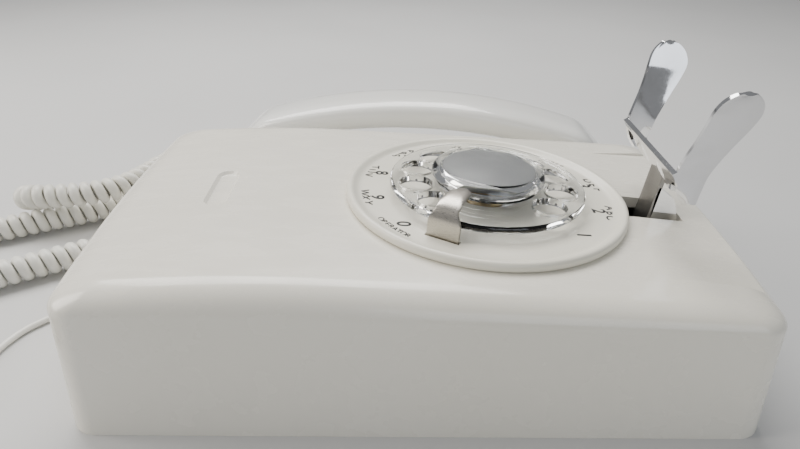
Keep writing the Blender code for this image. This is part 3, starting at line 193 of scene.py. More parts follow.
def metal(name, colour, tarnish, roughness, grain=None, spread=0.08, strength=0.12):
    """Metal: patches of tarnish, and marks that can run one way as brushing does."""
    finish = Finish(name, colour, roughness, Metallic=1.0)
    patches = finish.between(finish.noise(45, 5), 0.0, 1.0, 0.45, 0.75)
    finish.feed("Base Color", finish.blend(patches, colour, tarnish))
    lines = finish.noise(700, 4, finish.stretched(grain or (1, 1, 1)))
    streaks = finish.between(lines, roughness, roughness + spread)
    finish.feed("Roughness", streaks + patches * spread)
    finish.bump(lines, strength, 0.00002)
    return finish.material


print("shader helpers ready")

# %% [markdown]
# The housing is glossy moulded ivory, the handset a whiter and glossier plastic. Cord vinyl is
# duller, because the plasticiser in it makes the surface softer. One function could take a table
# of colours, but a line for each plastic is easier to change.
# %% Plastics
IVORY = (0.83, 0.80, 0.715)
ivory = moulded("ivory_plastic", IVORY, (0.78, 0.745, 0.64), 0.24, 0.35)
handset_white = moulded("handset_plastic", (0.83, 0.835, 0.82), (0.80, 0.79, 0.74), 0.17, 0.5)
plate_cream = moulded("number_plate_plastic", (0.80, 0.775, 0.68), (0.78, 0.74, 0.61), 0.32, 0.15)
cord_vinyl = moulded("cord_vinyl", (0.77, 0.765, 0.72), (0.70, 0.68, 0.60), 0.36, 0.1)
black_phenolic = moulded("black_phenolic", (0.022, 0.021, 0.020), (0.06, 0.05, 0.04), 0.38, 0.1)
print("plastics:", len(bpy.data.materials))


# %% [markdown]
# The wheel and the hub's cap are clear acrylic: light passes through, bends a little, and leaves
# bright lines at every edge. A thin see-through surface would be quicker but would show no edges,
# so the light is bent by the shader. Fine scratches from fingers roughen it in places.
# %% Clear plastics, ink and card
def clear(name, tint, roughness):
    finish = Finish(name, tint, roughness, IOR=1.49, Transmission_Weight=1.0)
    scratches = finish.noise(900, 6, finish.stretched((1, 8, 1)))
    finish.feed("Roughness", finish.between(scratches, roughness, roughness + 0.10, 0.55, 0.80))
    finish.bump(finish.noise(300, 3), 0.03, 0.00004)
    return finish.material


def printed(name, colour, worn, roughness, metallic=0.0):
    """Ink or card: nearly even, worn in small specks."""
    finish = Finish(name, colour, roughness, Metallic=metallic)
    wear = finish.between(finish.noise(1400, 5), 0.0, 1.0, 0.55, 0.85)
    finish.feed("Base Color", finish.blend(wear, colour, worn))
    finish.feed("Roughness", finish.between(finish.noise(300, 4), roughness, roughness + 0.12))
    finish.bump(wear, 0.05, 0.00002)
    return finish.material


acrylic = clear("clear_acrylic", (0.97, 0.98, 0.985), 0.015)
plug_clear = clear("clear_plug", (0.93, 0.95, 0.95), 0.04)
ink = printed("black_ink", (0.012, 0.012, 0.013), (0.10, 0.10, 0.09), 0.45)
card_grey = printed("centre_card", (0.42, 0.42, 0.415), (0.48, 0.48, 0.47), 0.38, 0.1)
print("acrylic, plug, ink and card are made")

# %% [markdown]
# The hook is bright plate with faint smears, the finger stop is brushed stainless steel, and the
# works inside are zinc plate, brass and enamelled copper. All share one function, in which a grain
# that is stretched along one axis gives the look of brushing.
# %% Metals
chrome = metal("bright_chrome", (0.80, 0.80, 0.81), (0.66, 0.66, 0.66), 0.035, None, 0.05, 0.03)
satin_steel = metal(
    "satin_steel", (0.56, 0.53, 0.48), (0.42, 0.38, 0.33), 0.24, (1, 1, 12), 0.12, 0.25)
zinc = metal("zinc_plate", (0.56, 0.57, 0.58), (0.42, 0.42, 0.40), 0.34, None, 0.14, 0.2)
brass = metal("brass", (0.70, 0.52, 0.24), (0.42, 0.28, 0.12), 0.26, (1, 6, 1), 0.12, 0.2)


def winding():
    """Enamelled copper wire wound round the Y axis: close rings, each with a painted highlight and
    painted shade between them.
    """
    finish = Finish("copper_winding", (0.50, 0.20, 0.08), 0.30, Metallic=0.7)
    sockets = {"Vector": finish.place, "Scale": 420.0}
    rings = finish.signal("ShaderNodeTexWave", {"bands_direction": "Y"}, sockets)
    # The colour's bands are painted light: bright for the highlight on each turn, dark for the
    # shade between turns.
    finish.feed("Base Color", finish.blend(rings, (0.22, 0.07, 0.03), (0.58, 0.25, 0.10)))
    finish.bump(rings, 0.8, 0.0001)
    return finish.material


copper = winding()
print("metals:", [m.name for m in (chrome, satin_steel, zinc, brass, copper)])


# %% [markdown]
# ## Cords
# Both cords follow routes of listed points. A smooth curve runs through the points, and new
# points are laid along it at even spacing, so that the windings on it come out even too.
# %% Route helpers
def curve_through(rows, steps):
    """Smooth curve through rows of two, three or four numbers, in steps between neighbours."""
    points = [Vector(row) for row in rows]
    padded = [2 * points[0] - points[1]] + points + [2 * points[-1] - points[-2]]
    dense = []
    for k in range(1, len(padded) - 2):
        a, b, c, d = padded[k - 1:k + 3]
        for step in range(steps):
            t = step / steps
            dense.append(0.5 * (2 * b + (c - a) * t + (2 * a - 5 * b + 4 * c - d) * t * t
                                + (3 * b - 3 * c + d - a) * t ** 3))
    dense.append(points[-1])
    return dense


def even_route(route, spacing):
    """Points at even spacing, in metres, along a route in millimetres."""
    dense = [point * MM for point in curve_through(route, 40)]
    total = route_length(dense)
    count = max(2, round(total / spacing))
    result = [dense[0]]
    travelled = 0.0
    for p, q in zip(dense, dense[1:]):
        step = (q - p).length
        while len(result) < count and travelled + step >= total * len(result) / count:
            result.append(p.lerp(q, (total * len(result) / count - travelled) / step))
        travelled += step
    result.append(dense[-1])
    return result


def route_length(points):
    return sum((q - p).length for p, q in zip(points, points[1:]))


def cord_piece(name, points, diameter, material, sides):
    """A round cord: one open spline with a round section and closed ends."""
    curve = bpy.data.curves.new(name, "CURVE")
    curve.dimensions = "3D"
    curve.bevel_depth = diameter / 2
    curve.bevel_resolution = sides
    curve.use_fill_caps = True
    spline = curve.splines.new("POLY")
    spline.points.add(len(points) - 1)
    for slot, point in zip(spline.points, points):
        slot.co = (*point, 1.0)
    spline.use_smooth = True
    curve.materials.append(material)
    piece = bpy.data.objects.new(name, curve)
    bpy.context.scene.collection.objects.link(piece)
    return piece


# %% [markdown]
# The handset cord is a thin cord wound into a tight spring. A straight spring could be bent by a
# Curve modifier, but it would shear in the tight bends. Here the spring's middle line is the
# route, and the cord turns round it: one frame is carried along the route without twisting, and
# the cord's place is an angle in that frame. At both ends the winding draws in to the middle line,
# because the last stretch is straight where it enters the housing and the handset.
# %% Curly handset cord
WIRE = 4.9 * MM                     # the thin cord itself
WINDING = 12.6 * MM                 # outside of the spring
TURN_PITCH = 5.5 * MM
STEPS_PER_TURN = 18
DRAW_IN = 14 * MM
HANDSET_CORD_ROUTE = [
    (-125.8, 50, 9), (-130.4, 49.6, 8.6), (-136.0, 45.2, 7.3), (-143, 38.5, 6.6),
    (-156, 30, 6.6), (-169, 21.3, 6.6), (-186, 10.4, 6.6), (-203, 0, 6.6), (-219, -5, 6.6),
    (-235, 2, 6.6), (-241, 18, 6.6), (-236, 34, 6.6), (-222, 43, 6.6), (-207, 50.3, 6.6),
    (-188, 61, 6.6), (-171, 70, 6.6), (-158.5, 79.5, 6.6), (-146, 88, 6.6), (-133, 91.5, 6.6),
    (-122, 94, 7.6), (-117.5, 102, 10.5), (-121.5, 110, 14), (-131, 111, 17.4),
    (-139, 101.5, 19.8), (-144, 88, 20), (-152, 73.5, 20), (-165.5, 64.5, 20), (-184, 60.3, 20),
    (-191.5, 60.8, 19.6), (-198, 64.3, 17.4), (-200.8, 71.5, 13), (-197, 79, 8.8),
    (-187.5, 82.5, 6.7), (-178, 86, 6.6), (-168, 92, 6.6), (-158, 101, 6.6), (-149, 112, 6.6),
    (-138, 121.5, 8.0), (-127, 126, 12.6), (-118, 126.1, 14.8), (-110.2, 125.4, 15)]


def wound(middle, radius):
    """Turn a line of points into a spring around it."""
    spacing = (middle[1] - middle[0]).length
    side = (middle[1] - middle[0]).cross(Vector((0, 0, 1))).normalized()
    last = len(middle) - 1
    result = []
    for k, point in enumerate(middle):
        along = (middle[min(k + 1, last)] - middle[max(k - 1, 0)]).normalized()
        side = (side - along * side.dot(along)).normalized()
        other = along.cross(side)
        reach = min(k, last - k) * spacing
        share = min(1.0, reach / DRAW_IN)
        share = share * share * (3 - 2 * share)
        angle = TAU * k / STEPS_PER_TURN
        result.append(point + radius * share * (math.cos(angle) * side + math.sin(angle) * other))
    return result


curly_middle = even_route(HANDSET_CORD_ROUTE, TURN_PITCH / STEPS_PER_TURN)
curly_points = wound(curly_middle, (WINDING - WIRE) / 2)
curly_cord = cord_piece("curly_handset_cord", curly_points, WIRE, cord_vinyl, 3)
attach(curly_cord, "case")
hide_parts("handset_cord")
curly_length = round(route_length(curly_points), 3)
print("curly cord:", curly_length, "m of thin cord,", len(curly_points), "points")

# %% [markdown]
# The line cord runs out of the bottom end, over the floor, and into a neat coil that lies beside
# the telephone. A random tangle would look untidy and cut through itself, so the coil is wound in
# layers, four turns to a layer, and the cord leaves it on top.
# %% Line cord with its coil
LINE_WIDTH = 2.6 * MM
LINE_OUT = [
    (-124.8, 4, 4.5), (-129.5, 3.6, 3.3), (-137.5, 0.8, 1.5), (-147, -7, 1.4),
    (-155.3, -16.1, 1.4), (-159.3, -21.2, 1.4), (-162, -27, 1.4), (-163.9, -34, 1.4),
    (-165.2, -42, 1.4), (-168.5, -52, 1.6), (-173, -62.5, 2.1)]
LINE_AWAY = [
    (-181.2, -86, 9.9), (-184.4, -95.5, 8.2), (-189.2, -104.2, 5.8), (-193.6, -111.3, 4.1),
    (-195.2, -117.9, 3.6)]
COIL_AT = Vector((-202.3, -68.3, 6.6))
COIL_RADIUS = 21.0
COIL_START = math.radians(-20)
STEP = 2.6                          # from one turn to the next, mm
LAYERS = [
    (1.5, -1.5), (0.5, -1.5), (-0.5, -1.5), (-1.5, -1.5), (-1.5, -0.5), (-0.5, -0.5),
    (0.5, -0.5), (1.5, -0.5), (1.5, 0.5), (0.5, 0.5), (-0.5, 0.5), (-1.5, 0.5), (-0.5, 1.5),
    (0.5, 1.5), (1.5, 1.5)]
TURN_STEPS = 24
DRIFT_FROM = 0.66                   # share of a turn at which it leaves for the next place


def coil_points():
    """Clockwise turns; each drifts to the next turn's place over its last third."""
    points = []
    for turn, (out, rise) in enumerate(LAYERS):
        next_out, next_rise = LAYERS[min(turn + 1, len(LAYERS) - 1)]
        for k in range(TURN_STEPS):
            t = k / TURN_STEPS
            drift = max(0.0, (t - DRIFT_FROM) / (1 - DRIFT_FROM))
            drift = drift * drift * (3 - 2 * drift)
            radius = COIL_RADIUS + STEP * (out + (next_out - out) * drift)
            height = STEP * (rise + (next_rise - rise) * drift)
            angle = COIL_START - TAU * t
            point = Vector((radius * math.cos(angle), radius * math.sin(angle), height))
            points.append(COIL_AT + point)
    return points


line_route = LINE_OUT + [tuple(p) for p in coil_points()] + LINE_AWAY
line_points = even_route(line_route, LINE_WIDTH)
line_cord = cord_piece("line_cord_run", line_points, LINE_WIDTH, cord_vinyl, 2)
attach(line_cord, "case")
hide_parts("line_cord", "line_cord_coil", "line_cord_tail")
print("line cord:", round(route_length(line_points), 3), "m")


# %% [markdown]
# ## Making pieces
# Every piece starts as a bmesh: a few points or a simple shape, then operators. `finished` turns
# it into an object at the origin with soft edges: a Bevel rounds each sharp edge, and weighted
# normals keep the large flat faces flat. Rounding by hand would give the same look and take far
# longer.
# %% Piece helpers
def finished(name, bm, material, body, replaces=(), bevel=0.4 * MM, segments=3, sharp=38):
    """Object of a shape, with its finish, its body and the solids it replaces."""
    mesh = bpy.data.meshes.new(name)
    bm.to_mesh(mesh)
    bm.free()
    mesh.shade_smooth()
    mesh.materials.append(material)
    piece = bpy.data.objects.new(name, mesh)
    bpy.context.scene.collection.objects.link(piece)
    if bevel:
        rounding = piece.modifiers.new("rounding", "BEVEL")
        rounding.width = bevel
        rounding.segments = segments
        rounding.limit_method = "ANGLE"
        rounding.angle_limit = math.radians(sharp)
        weighting = piece.modifiers.new("weighting", "WEIGHTED_NORMAL")
        weighting.weight = 80
    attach(piece, body)
    if replaces:
        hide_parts(*replaces)
    return piece


def cleaned(bm):
    """Merge doubles, then point every face outwards."""
    bmesh.ops.remove_doubles(bm, verts=bm.verts, dist=0.002 * MM)
    bmesh.ops.recalc_face_normals(bm, faces=bm.faces)
    return bm


def lathe(profile, steps=96):
    """Spin a profile of (radius, height) points, in millimetres, round the upright axis."""
    bm = bmesh.new()
    line = [bm.verts.new((r * MM, 0, z * MM)) for r, z in profile]
    edges = [bm.edges.new(pair) for pair in zip(line, line[1:])]
    if profile[0][0] > 0 and profile[-1][0] > 0:
        edges.append(bm.edges.new((line[-1], line[0])))
    bmesh.ops.spin(bm, geom=line + edges, axis=(0, 0, 1), cent=(0, 0, 0), angle=TAU, steps=steps,
                   use_merge=True)
    return cleaned(bm)


def rod(radius, low, high, steps=48):
    """Plain round bar from low to high."""
    bm = bmesh.new()
    bmesh.ops.create_cone(bm, cap_ends=True, segments=steps,
                          radius1=radius * MM, radius2=radius * MM, depth=(high - low) * MM)
    bmesh.ops.translate(bm, vec=(0, 0, (low + high) / 2 * MM), verts=bm.verts)
    return bm


def block(low, high):
    """Box between two corners, in millimetres."""
    bm = bmesh.new()
    bmesh.ops.create_cube(bm, size=1)
    size = [(b - a) * MM for a, b in zip(low, high)]
    middle = [(a + b) / 2 * MM for a, b in zip(low, high)]
    bmesh.ops.scale(bm, vec=size, verts=bm.verts)
    bmesh.ops.translate(bm, vec=middle, verts=bm.verts)
    return bm


def moved(bm, matrix):
    bmesh.ops.transform(bm, matrix=matrix, verts=bm.verts)
    return bm


def temporary(bm):
    """Object that only lives until its shape has been worked on."""
    mesh = bpy.data.meshes.new("temporary")
    bm.to_mesh(mesh)
    bm.free()
    item = bpy.data.objects.new("temporary", mesh)
    bpy.context.scene.collection.objects.link(item)
    return item


def settled(item, tools=()):
    """Apply an object's modifiers, take the object and its tools away, and give back the shape."""
    graph = bpy.context.evaluated_depsgraph_get()
    mesh = bpy.data.meshes.new_from_object(item.evaluated_get(graph))
    bm = bmesh.new()
    bm.from_mesh(mesh)
    for extra in (item, *tools):
        bpy.data.objects.remove(extra, do_unlink=True)
    bpy.data.meshes.remove(mesh)
    return bm


def carved(bm, cutters, operation="DIFFERENCE"):
    """Cut each of the other shapes from this one, or join them on."""
    item = temporary(bm)
    tools = [temporary(cutter) for cutter in cutters]
    for tool in tools:
        step = item.modifiers.new("cut", "BOOLEAN")
        step.operation = operation
        step.solver = "EXACT"
        step.object = tool
    return settled(item, tools)


print("piece helpers ready")

# %% [markdown]
# ## Housing
# The housing is a moulded shell with round corners, nearly upright walls, ends that bow out a
# little, a soft shoulder all round, and a face that falls away towards the bottom end. A rounded
# box would give every edge the same softness, so the housing is drawn from its outline instead.
# The outline is a closed ring of edges with bevelled corners. The ring is extruded ring by ring
# along a quarter of an ellipse, the last ring is filled, and the face is divided into strips
# across. The inside is made the same way, from the same outline.
# %% Housing shell
HOUSING = {
    "length": 240.5, "width": 150, "corner": 10, "bow": 2.5, "draft": 1.5, "wall": 3.0,
    "shoulder": 11}
MIDDLE = -2.25                      # X of the middle of the housing
BOTTOM_END = MIDDLE - HOUSING["length"] / 2
EXTRA_AT_TOP = 2.2                  # how much thicker the face is at the top end, for the dip in it
BEND, END_DROP, BEND_LENGTH = -32.5, 7.0, 90
FACE_TILT = 0.05
DIAL_AT = Vector((25, 0, 52.6))
SHOULDER_STEPS, CORNER_STEPS, CUTS_ALONG = 12, 12, 23


def face_height(x):
    """Height of the face along the middle line: a gentle slope, then a fall at the bottom end."""
    beyond = max(0.0, (BEND - x) / BEND_LENGTH)
    return DIAL_AT.z - math.tan(FACE_TILT) * (x - DIAL_AT.x) - END_DROP * beyond ** 2


def shoulder_height(x):
    """Height at which the walls begin to round over into the face."""
    return 44 - 0.02 * x


def ceiling_height(x):
    return face_height(x) - HOUSING["wall"] - EXTRA_AT_TOP * (x - BOTTOM_END) / HOUSING["length"]


def next_ring(bm, edges, further_in, height_at):
    """Extrude a closed ring of edges, draw it in towards the middle, and set its height."""
    made = bmesh.ops.extrude_edge_only(bm, edges=edges)["geom"]
    verts = {g for g in made if isinstance(g, bmesh.types.BMVert)}
    reach = max(v.co.x for v in verts) - MIDDLE - HOUSING["bow"] - HOUSING["corner"]
    level = max(v.co.y for v in verts) - HOUSING["corner"]
    for v in verts:
        v.co.x -= further_in * max(-1, min(1, (v.co.x - MIDDLE) / reach))
        v.co.y -= further_in * max(-1, min(1, v.co.y / level))
        v.co.z = height_at(v.co.x)
    return [e for e in bm.edges if e.verts[0] in verts and e.verts[1] in verts]


def bottom_ring(bm):
    """Outline at the back edge: round corners, and ends that bow outwards."""
    bmesh.ops.create_grid(bm, x_segments=1, y_segments=1, size=0.5)
    straight = HOUSING["length"] - 2 * HOUSING["bow"]
    bmesh.ops.scale(bm, vec=(straight, HOUSING["width"], 1), verts=bm.verts)
    bmesh.ops.bevel(bm, geom=bm.verts[:], offset=HOUSING["corner"], affect="VERTICES",
                    segments=CORNER_STEPS, profile=0.5, material=-1)
    bmesh.ops.delete(bm, geom=bm.faces[:], context="FACES_ONLY")
    sides = [e for e in bm.edges if e.calc_length() > 2 * HOUSING["corner"]]
    bmesh.ops.subdivide_edges(bm, edges=sides, cuts=CUTS_ALONG)
    level = HOUSING["width"] / 2 - HOUSING["corner"]
    for v in bm.verts:
        if abs(v.co.y) < level and abs(v.co.x) > straight / 2 - 1:
            v.co.x += math.copysign(HOUSING["bow"] * (1 - (v.co.y / level) ** 2), v.co.x)
    bmesh.ops.translate(bm, vec=(MIDDLE, 0, 0), verts=bm.verts)
    return bm.edges[:]


def strips_across(bm, ring):
    """Fill a ring, then divide the face across wherever both long sides have a point."""
    face = bmesh.ops.contextual_create(bm, geom=ring)["faces"][0]
    side = max(v.co.y for v in face.verts)
    across = sorted(v.co.x for v in face.verts if v.co.y > side - 0.01)
    for x in across[1:-1]:
        pair = [v for v in face.verts if abs(v.co.x - x) < 0.01]
        other = bmesh.utils.face_split(face, *pair)[0]
        face = max((face, other), key=lambda part: part.calc_center_median().x)


def housing_shape():
    """Outer walls and face, then the inner ones from the same outline."""
    bm = bmesh.new()
    start = bottom_ring(bm)
    ring, inset = start, 0.0
    for k in range(SHOULDER_STEPS + 1):
        angle = math.pi / 2 * k / SHOULDER_STEPS
        wanted = HOUSING["draft"] + HOUSING["shoulder"] * (1 - math.cos(angle))
        rise = math.sin(angle)
        ring = next_ring(
            bm, ring, wanted - inset,
            lambda x: shoulder_height(x) + rise * (face_height(x) - shoulder_height(x)))
        inset = wanted
    strips_across(bm, ring)
    wall, draft = HOUSING["wall"], HOUSING["draft"]
    ring = next_ring(bm, start, wall, lambda x: 0)
    ring = next_ring(bm, ring, draft, lambda x: shoulder_height(x) - wall)
    ring = next_ring(bm, ring, HOUSING["shoulder"] - wall, ceiling_height)
    strips_across(bm, ring)
    bmesh.ops.scale(bm, vec=(MM, MM, MM), verts=bm.verts)
    bmesh.ops.recalc_face_normals(bm, faces=bm.faces)
    return bm


shell = housing_shape()
print("housing shell:", len(shell.faces), "faces")

# %% [markdown]
# The shell is then cut as the moulding tool would have cored it: the round opening under the dial,
# the shallow dip towards the top, the slot for the hook, the round-ended recess, and the holes in
# the bottom end for cords, screw and volume wheel. Openings could be drawn into the faces one by
# one, but a solid cutter for each gives clean edges that the closing Bevel can round.
# %% Openings of the housing
def turned(x, y, z):
    """Matrix of a turn about the three axes."""
    return Euler((x, y, z)).to_matrix().to_4x4()


DIAL_FRAME = Matrix.Translation(DIAL_AT * MM) @ turned(0, FACE_TILT, 0)
DIP_FROM, DIP_TO, DIP_HALF_NEAR, DIP_HALF_FAR = 82, 123, 52.0, 58.5
RECESS_X, RECESS_HALF, RECESS_RADIUS, RECESS_DEPTH = -78.5, 10.75, 4.75, 1.2


def bottom_hole(radius, y, z):
    """Round hole through the bottom end wall."""
    place = Matrix.Translation(Vector((BOTTOM_END, y, z)) * MM)
    return moved(rod(radius, -8, 12, 32), place @ turned(0, math.pi / 2, 0))


def top_dip():
    """Wedge that lowers the face towards the top end."""
    height = 10
    bm = block((DIP_FROM, -1, 0), (DIP_TO, 1, height))
    for v in bm.verts:
        far = v.co.x > (DIP_FROM + DIP_TO) / 2 * MM
        v.co.y = math.copysign((DIP_HALF_FAR if far else DIP_HALF_NEAR) * MM, v.co.y)
        lift = height if v.co.z > height / 2 * MM else 0
        v.co.z = (face_height(v.co.x / MM) - (EXTRA_AT_TOP if far else 0) + lift) * MM
    return bm


def recess():
    """Round-ended recess with sloping sides."""
    bm = bmesh.new()
    bmesh.ops.create_circle(bm, cap_ends=True, segments=40, radius=RECESS_RADIUS * MM)
    made = bmesh.ops.extrude_face_region(bm, geom=bm.faces[:])
    upper = [g for g in made["geom"] if isinstance(g, bmesh.types.BMVert)]
    bmesh.ops.translate(bm, vec=(0, 0, (RECESS_DEPTH + 0.1) * MM), verts=upper)
    lower = [v for v in bm.verts if v not in upper]
    bmesh.ops.scale(bm, vec=(0.72, 0.72, 1), verts=lower)
    for v in bm.verts:
        v.co.y += math.copysign(RECESS_HALF * MM, v.co.y)
    bmesh.ops.recalc_face_normals(bm, faces=bm.faces)
    spot = Vector((RECESS_X, 0, face_height(RECESS_X) - RECESS_DEPTH)) * MM
    near, far = RECESS_X - 4.5, RECESS_X + 4.5
    slope = math.atan((face_height(near) - face_height(far)) / (far - near))
    return moved(bm, Matrix.Translation(spot) @ turned(0, slope, 0))


dial_opening = moved(rod(47, -20, 20, 96), DIAL_FRAME)
hook_slot = block((68, -10, 34), (101.5, 7.5, 64))
handset_cord_hole, line_cord_hole = bottom_hole(4.9, 50, 9), bottom_hole(2.7, 4, 4.5)
screw_hole = bottom_hole(2.1, 25, 14)
volume_slot = block((-130.5, -51.3, 5), (-110.5, -32.7, 9))
cutters = [dial_opening, top_dip(), hook_slot, recess(), handset_cord_hole, line_cord_hole,
           screw_hole, volume_slot]
housing = finished("housing_moulding", cleaned(carved(shell, cutters)), ivory, "case",
                   ("housing_shell",), bevel=0.5 * MM)
print("housing:", len(housing.data.polygons), "faces")

# %% [markdown]
# Thin parts such as blades and prongs are sheets: a flat grid whose points are put where a small
# rule says, and then given thickness on both sides. Bending a block would stretch it unevenly, but
# a grid keeps even faces along every bend.
# %% Sheet helper
def sheet_of(rows, columns, rule, thickness):
    """Grid placed by rule(s, t), with s and t from 0 to 1, then thickened."""
    bm = bmesh.new()
    bmesh.ops.create_grid(bm, x_segments=rows, y_segments=columns, size=0.5)
    for v in bm.verts:
        v.co = Vector(rule(v.co.x + 0.5, v.co.y + 0.5)) * MM
    bmesh.ops.recalc_face_normals(bm, faces=bm.faces)
    item = temporary(bm)
    step = item.modifiers.new("thickness", "SOLIDIFY")
    step.thickness = thickness * MM
    step.offset = 0
    return settled(item)


def sampler(rows):
    """Function of 0..1 that follows a smooth curve through the rows."""
    steps = 12
    dense = curve_through(rows, steps)

    def at(share):
        place = share * (len(dense) - 1)
        low = min(int(place), len(dense) - 2)
        return dense[low].lerp(dense[low + 1], place - low)
    return at


print("sheet helper ready")

# %% [markdown]
# ## Dial
# The number plate stays still. It is a thin turned dish with a soft raised rim, slotted for the
# finger stop, so its section is spun round the dial's axis. The stop is a bent blade of brushed
# steel that comes up through the plate, reaches over the wheel and narrows to a rounded point. It
# is a sheet that follows a smooth spine.
# %% Number plate and finger stop
STOP_ANGLE = math.radians(-117.3)
STOP_CIRCLE = 42.0
STOP_TURN = turned(0, 0, STOP_ANGLE)
plate_profile = [
    (15, 0.3), (54.5, 0.3), (54.9, 0.7), (55, 1.4), (54.95, 2.2), (54.7, 2.9), (54.2, 3.4),
    (53.5, 3.6), (52.7, 3.5), (52.0, 3.1), (51.3, 2.6), (50.6, 2.2), (49.8, 1.95), (48.8, 1.82),
    (47.5, 1.8), (15, 1.8)]
stop_slot = moved(block((STOP_CIRCLE - 1.2, -6.5, -5), (STOP_CIRCLE + 1.2, 6.5, 10)), STOP_TURN)
plate_shape = moved(carved(lathe(plate_profile, 144), [stop_slot]), DIAL_FRAME)
number_plate = finished("number_plate_dish", plate_shape, plate_cream, "case",
                        ("dial_number_plate",), bevel=0.12 * MM, segments=2)

stop_spine = sampler([
    (STOP_CIRCLE, -1.6), (STOP_CIRCLE, 3), (41.8, 9), (39.8, 12.2), (35.5, 13.9), (30, 14),
    (24.8, 13.25)])
STOP_HALF = 6.0                     # half the blade's width where it comes through the plate
NECK_FROM, NECK_OVER, NECK_BY = 0.3, 0.16, 1.9
TIP_FROM = 0.82


def stop_rule(s, t):
    """The blade narrows at its neck, a little more along its arm, and rounds off at its tip."""
    radius, height = stop_spine(s)
    neck = max(0.0, min(1.0, (s - NECK_FROM) / NECK_OVER))
    half = STOP_HALF - NECK_BY * neck - 1.2 * max(0.0, s - NECK_FROM - NECK_OVER)
    taper = max(0.0, (s - TIP_FROM) / (1 - TIP_FROM))
    half = half * math.sqrt(max(0.02, 1 - taper ** 2.4))
    across = 2 * t - 1
    return radius, half * across, height - 0.5 * across ** 4 * min(1.0, max(0.0, s - 0.5) * 6)


stop_shape = moved(moved(sheet_of(72, 14, stop_rule, 1.2), STOP_TURN), DIAL_FRAME)
finger_stop = finished("finger_stop_blade", stop_shape, satin_steel, "case",
                       ("finger_stop",), bevel=0.25 * MM)
print("plate and stop:", len(number_plate.data.polygons), len(finger_stop.data.polygons))

# %% [markdown]
# The finger wheel is one piece of clear plastic with a thick hub and ten holes. A clear cap with a
# rounded edge covers the hub, and a plain grey card lies beneath it. All three are round, so they
# are spun, and the finger holes are cut afterwards with plain round bars.
# %% Finger wheel, cap and card
FIRST_HOLE, HOLE_PITCH = math.radians(-43.5), math.radians(29.4)
HOLE_CIRCLE, HOLE_RADIUS, HOLE_COUNT = 28.575, 6.59, 10


def hole_angle(k):
    return FIRST_HOLE + k * HOLE_PITCH


def around(radius, angle, height=0.0):
    """Shift to a radius and an angle of a round part."""
    spot = Vector((radius * math.cos(angle), radius * math.sin(angle), height))
    return Matrix.Translation(spot * MM)


wheel_profile = [
    (3.3, 4.6), (37.2, 4.6), (37.8, 4.8), (38.1, 5.4), (38.05, 6.4), (37.7, 7.1), (37.1, 7.4),
    (20.6, 7.4), (19.9, 7.6), (19.5, 8.2), (19.5, 9.3), (3.3, 9.3)]
finger_holes = [moved(rod(HOLE_RADIUS, 0, 9, 64), around(HOLE_CIRCLE, hole_angle(k)))
                for k in range(HOLE_COUNT)]
wheel_shape = moved(carved(lathe(wheel_profile, 160), finger_holes), DIAL_FRAME)
wheel = finished("finger_wheel_clear", wheel_shape, acrylic, "dial", ("finger_wheel",),
                 bevel=0.45 * MM, segments=4, sharp=50)

cap_profile = [
    (0, 13.6), (16.6, 13.6), (18.4, 13.45), (19.9, 13.05), (21.1, 12.4), (21.8, 11.6), (22, 10.8),
    (22, 9.9), (21.7, 9.6), (18.3, 9.6), (18.3, 12.1), (0, 12.1)]
finished("hub_cap_clear", moved(lathe(cap_profile, 128), DIAL_FRAME), acrylic, "dial",
         ("hub_cap",), bevel=0.15 * MM, segments=2)
card_profile = [(0, 11.8), (17.5, 11.8), (17.8, 11.6), (17.8, 11.0), (0, 11.0)]
finished("centre_card_disc", moved(lathe(card_profile, 96), DIAL_FRAME), card_grey, "dial",
         ("dial_centre_card",), bevel=0)
print("wheel faces:", len(wheel.data.polygons))

# %% [markdown]
# Digits and letters are printed on the plate outside the wheel. They all stand upright as the
# telephone hangs on a wall, except the word by the last digit, which follows the curve. A black
# dot marks the plate beneath each finger hole. Print could be a painted picture, but text objects
# made into a mesh stay sharp at any distance.
# %% Printed characters
INK_LEVEL = 1.84                    # just above the plate, mm
CAPITAL_SHARE = 0.70                # height of a capital letter for a text size of 1
UPRIGHT = -math.pi / 2
ink_bm = bmesh.new()


def print_text(text, height, radius, angle, turn):
    """Add one letter or digit to the ink, centred at a radius and angle of the dial."""
    data = bpy.data.curves.new("text", "FONT")
    data.body = text
    data.size = height / CAPITAL_SHARE * MM
    data.offset = 0.022 * data.size
    data.extrude = 0.02 * MM
    data.align_x = "CENTER"
    data.align_y = "CENTER"
    data.resolution_u = 4
    item = bpy.data.objects.new("text", data)
    bpy.context.scene.collection.objects.link(item)
    graph = bpy.context.evaluated_depsgraph_get()
    mesh = bpy.data.meshes.new_from_object(item.evaluated_get(graph))
    mesh.transform(around(radius, angle, INK_LEVEL) @ turned(0, 0, turn))
    ink_bm.from_mesh(mesh)
    bpy.data.objects.remove(item, do_unlink=True)
    bpy.data.curves.remove(data)
    bpy.data.meshes.remove(mesh)


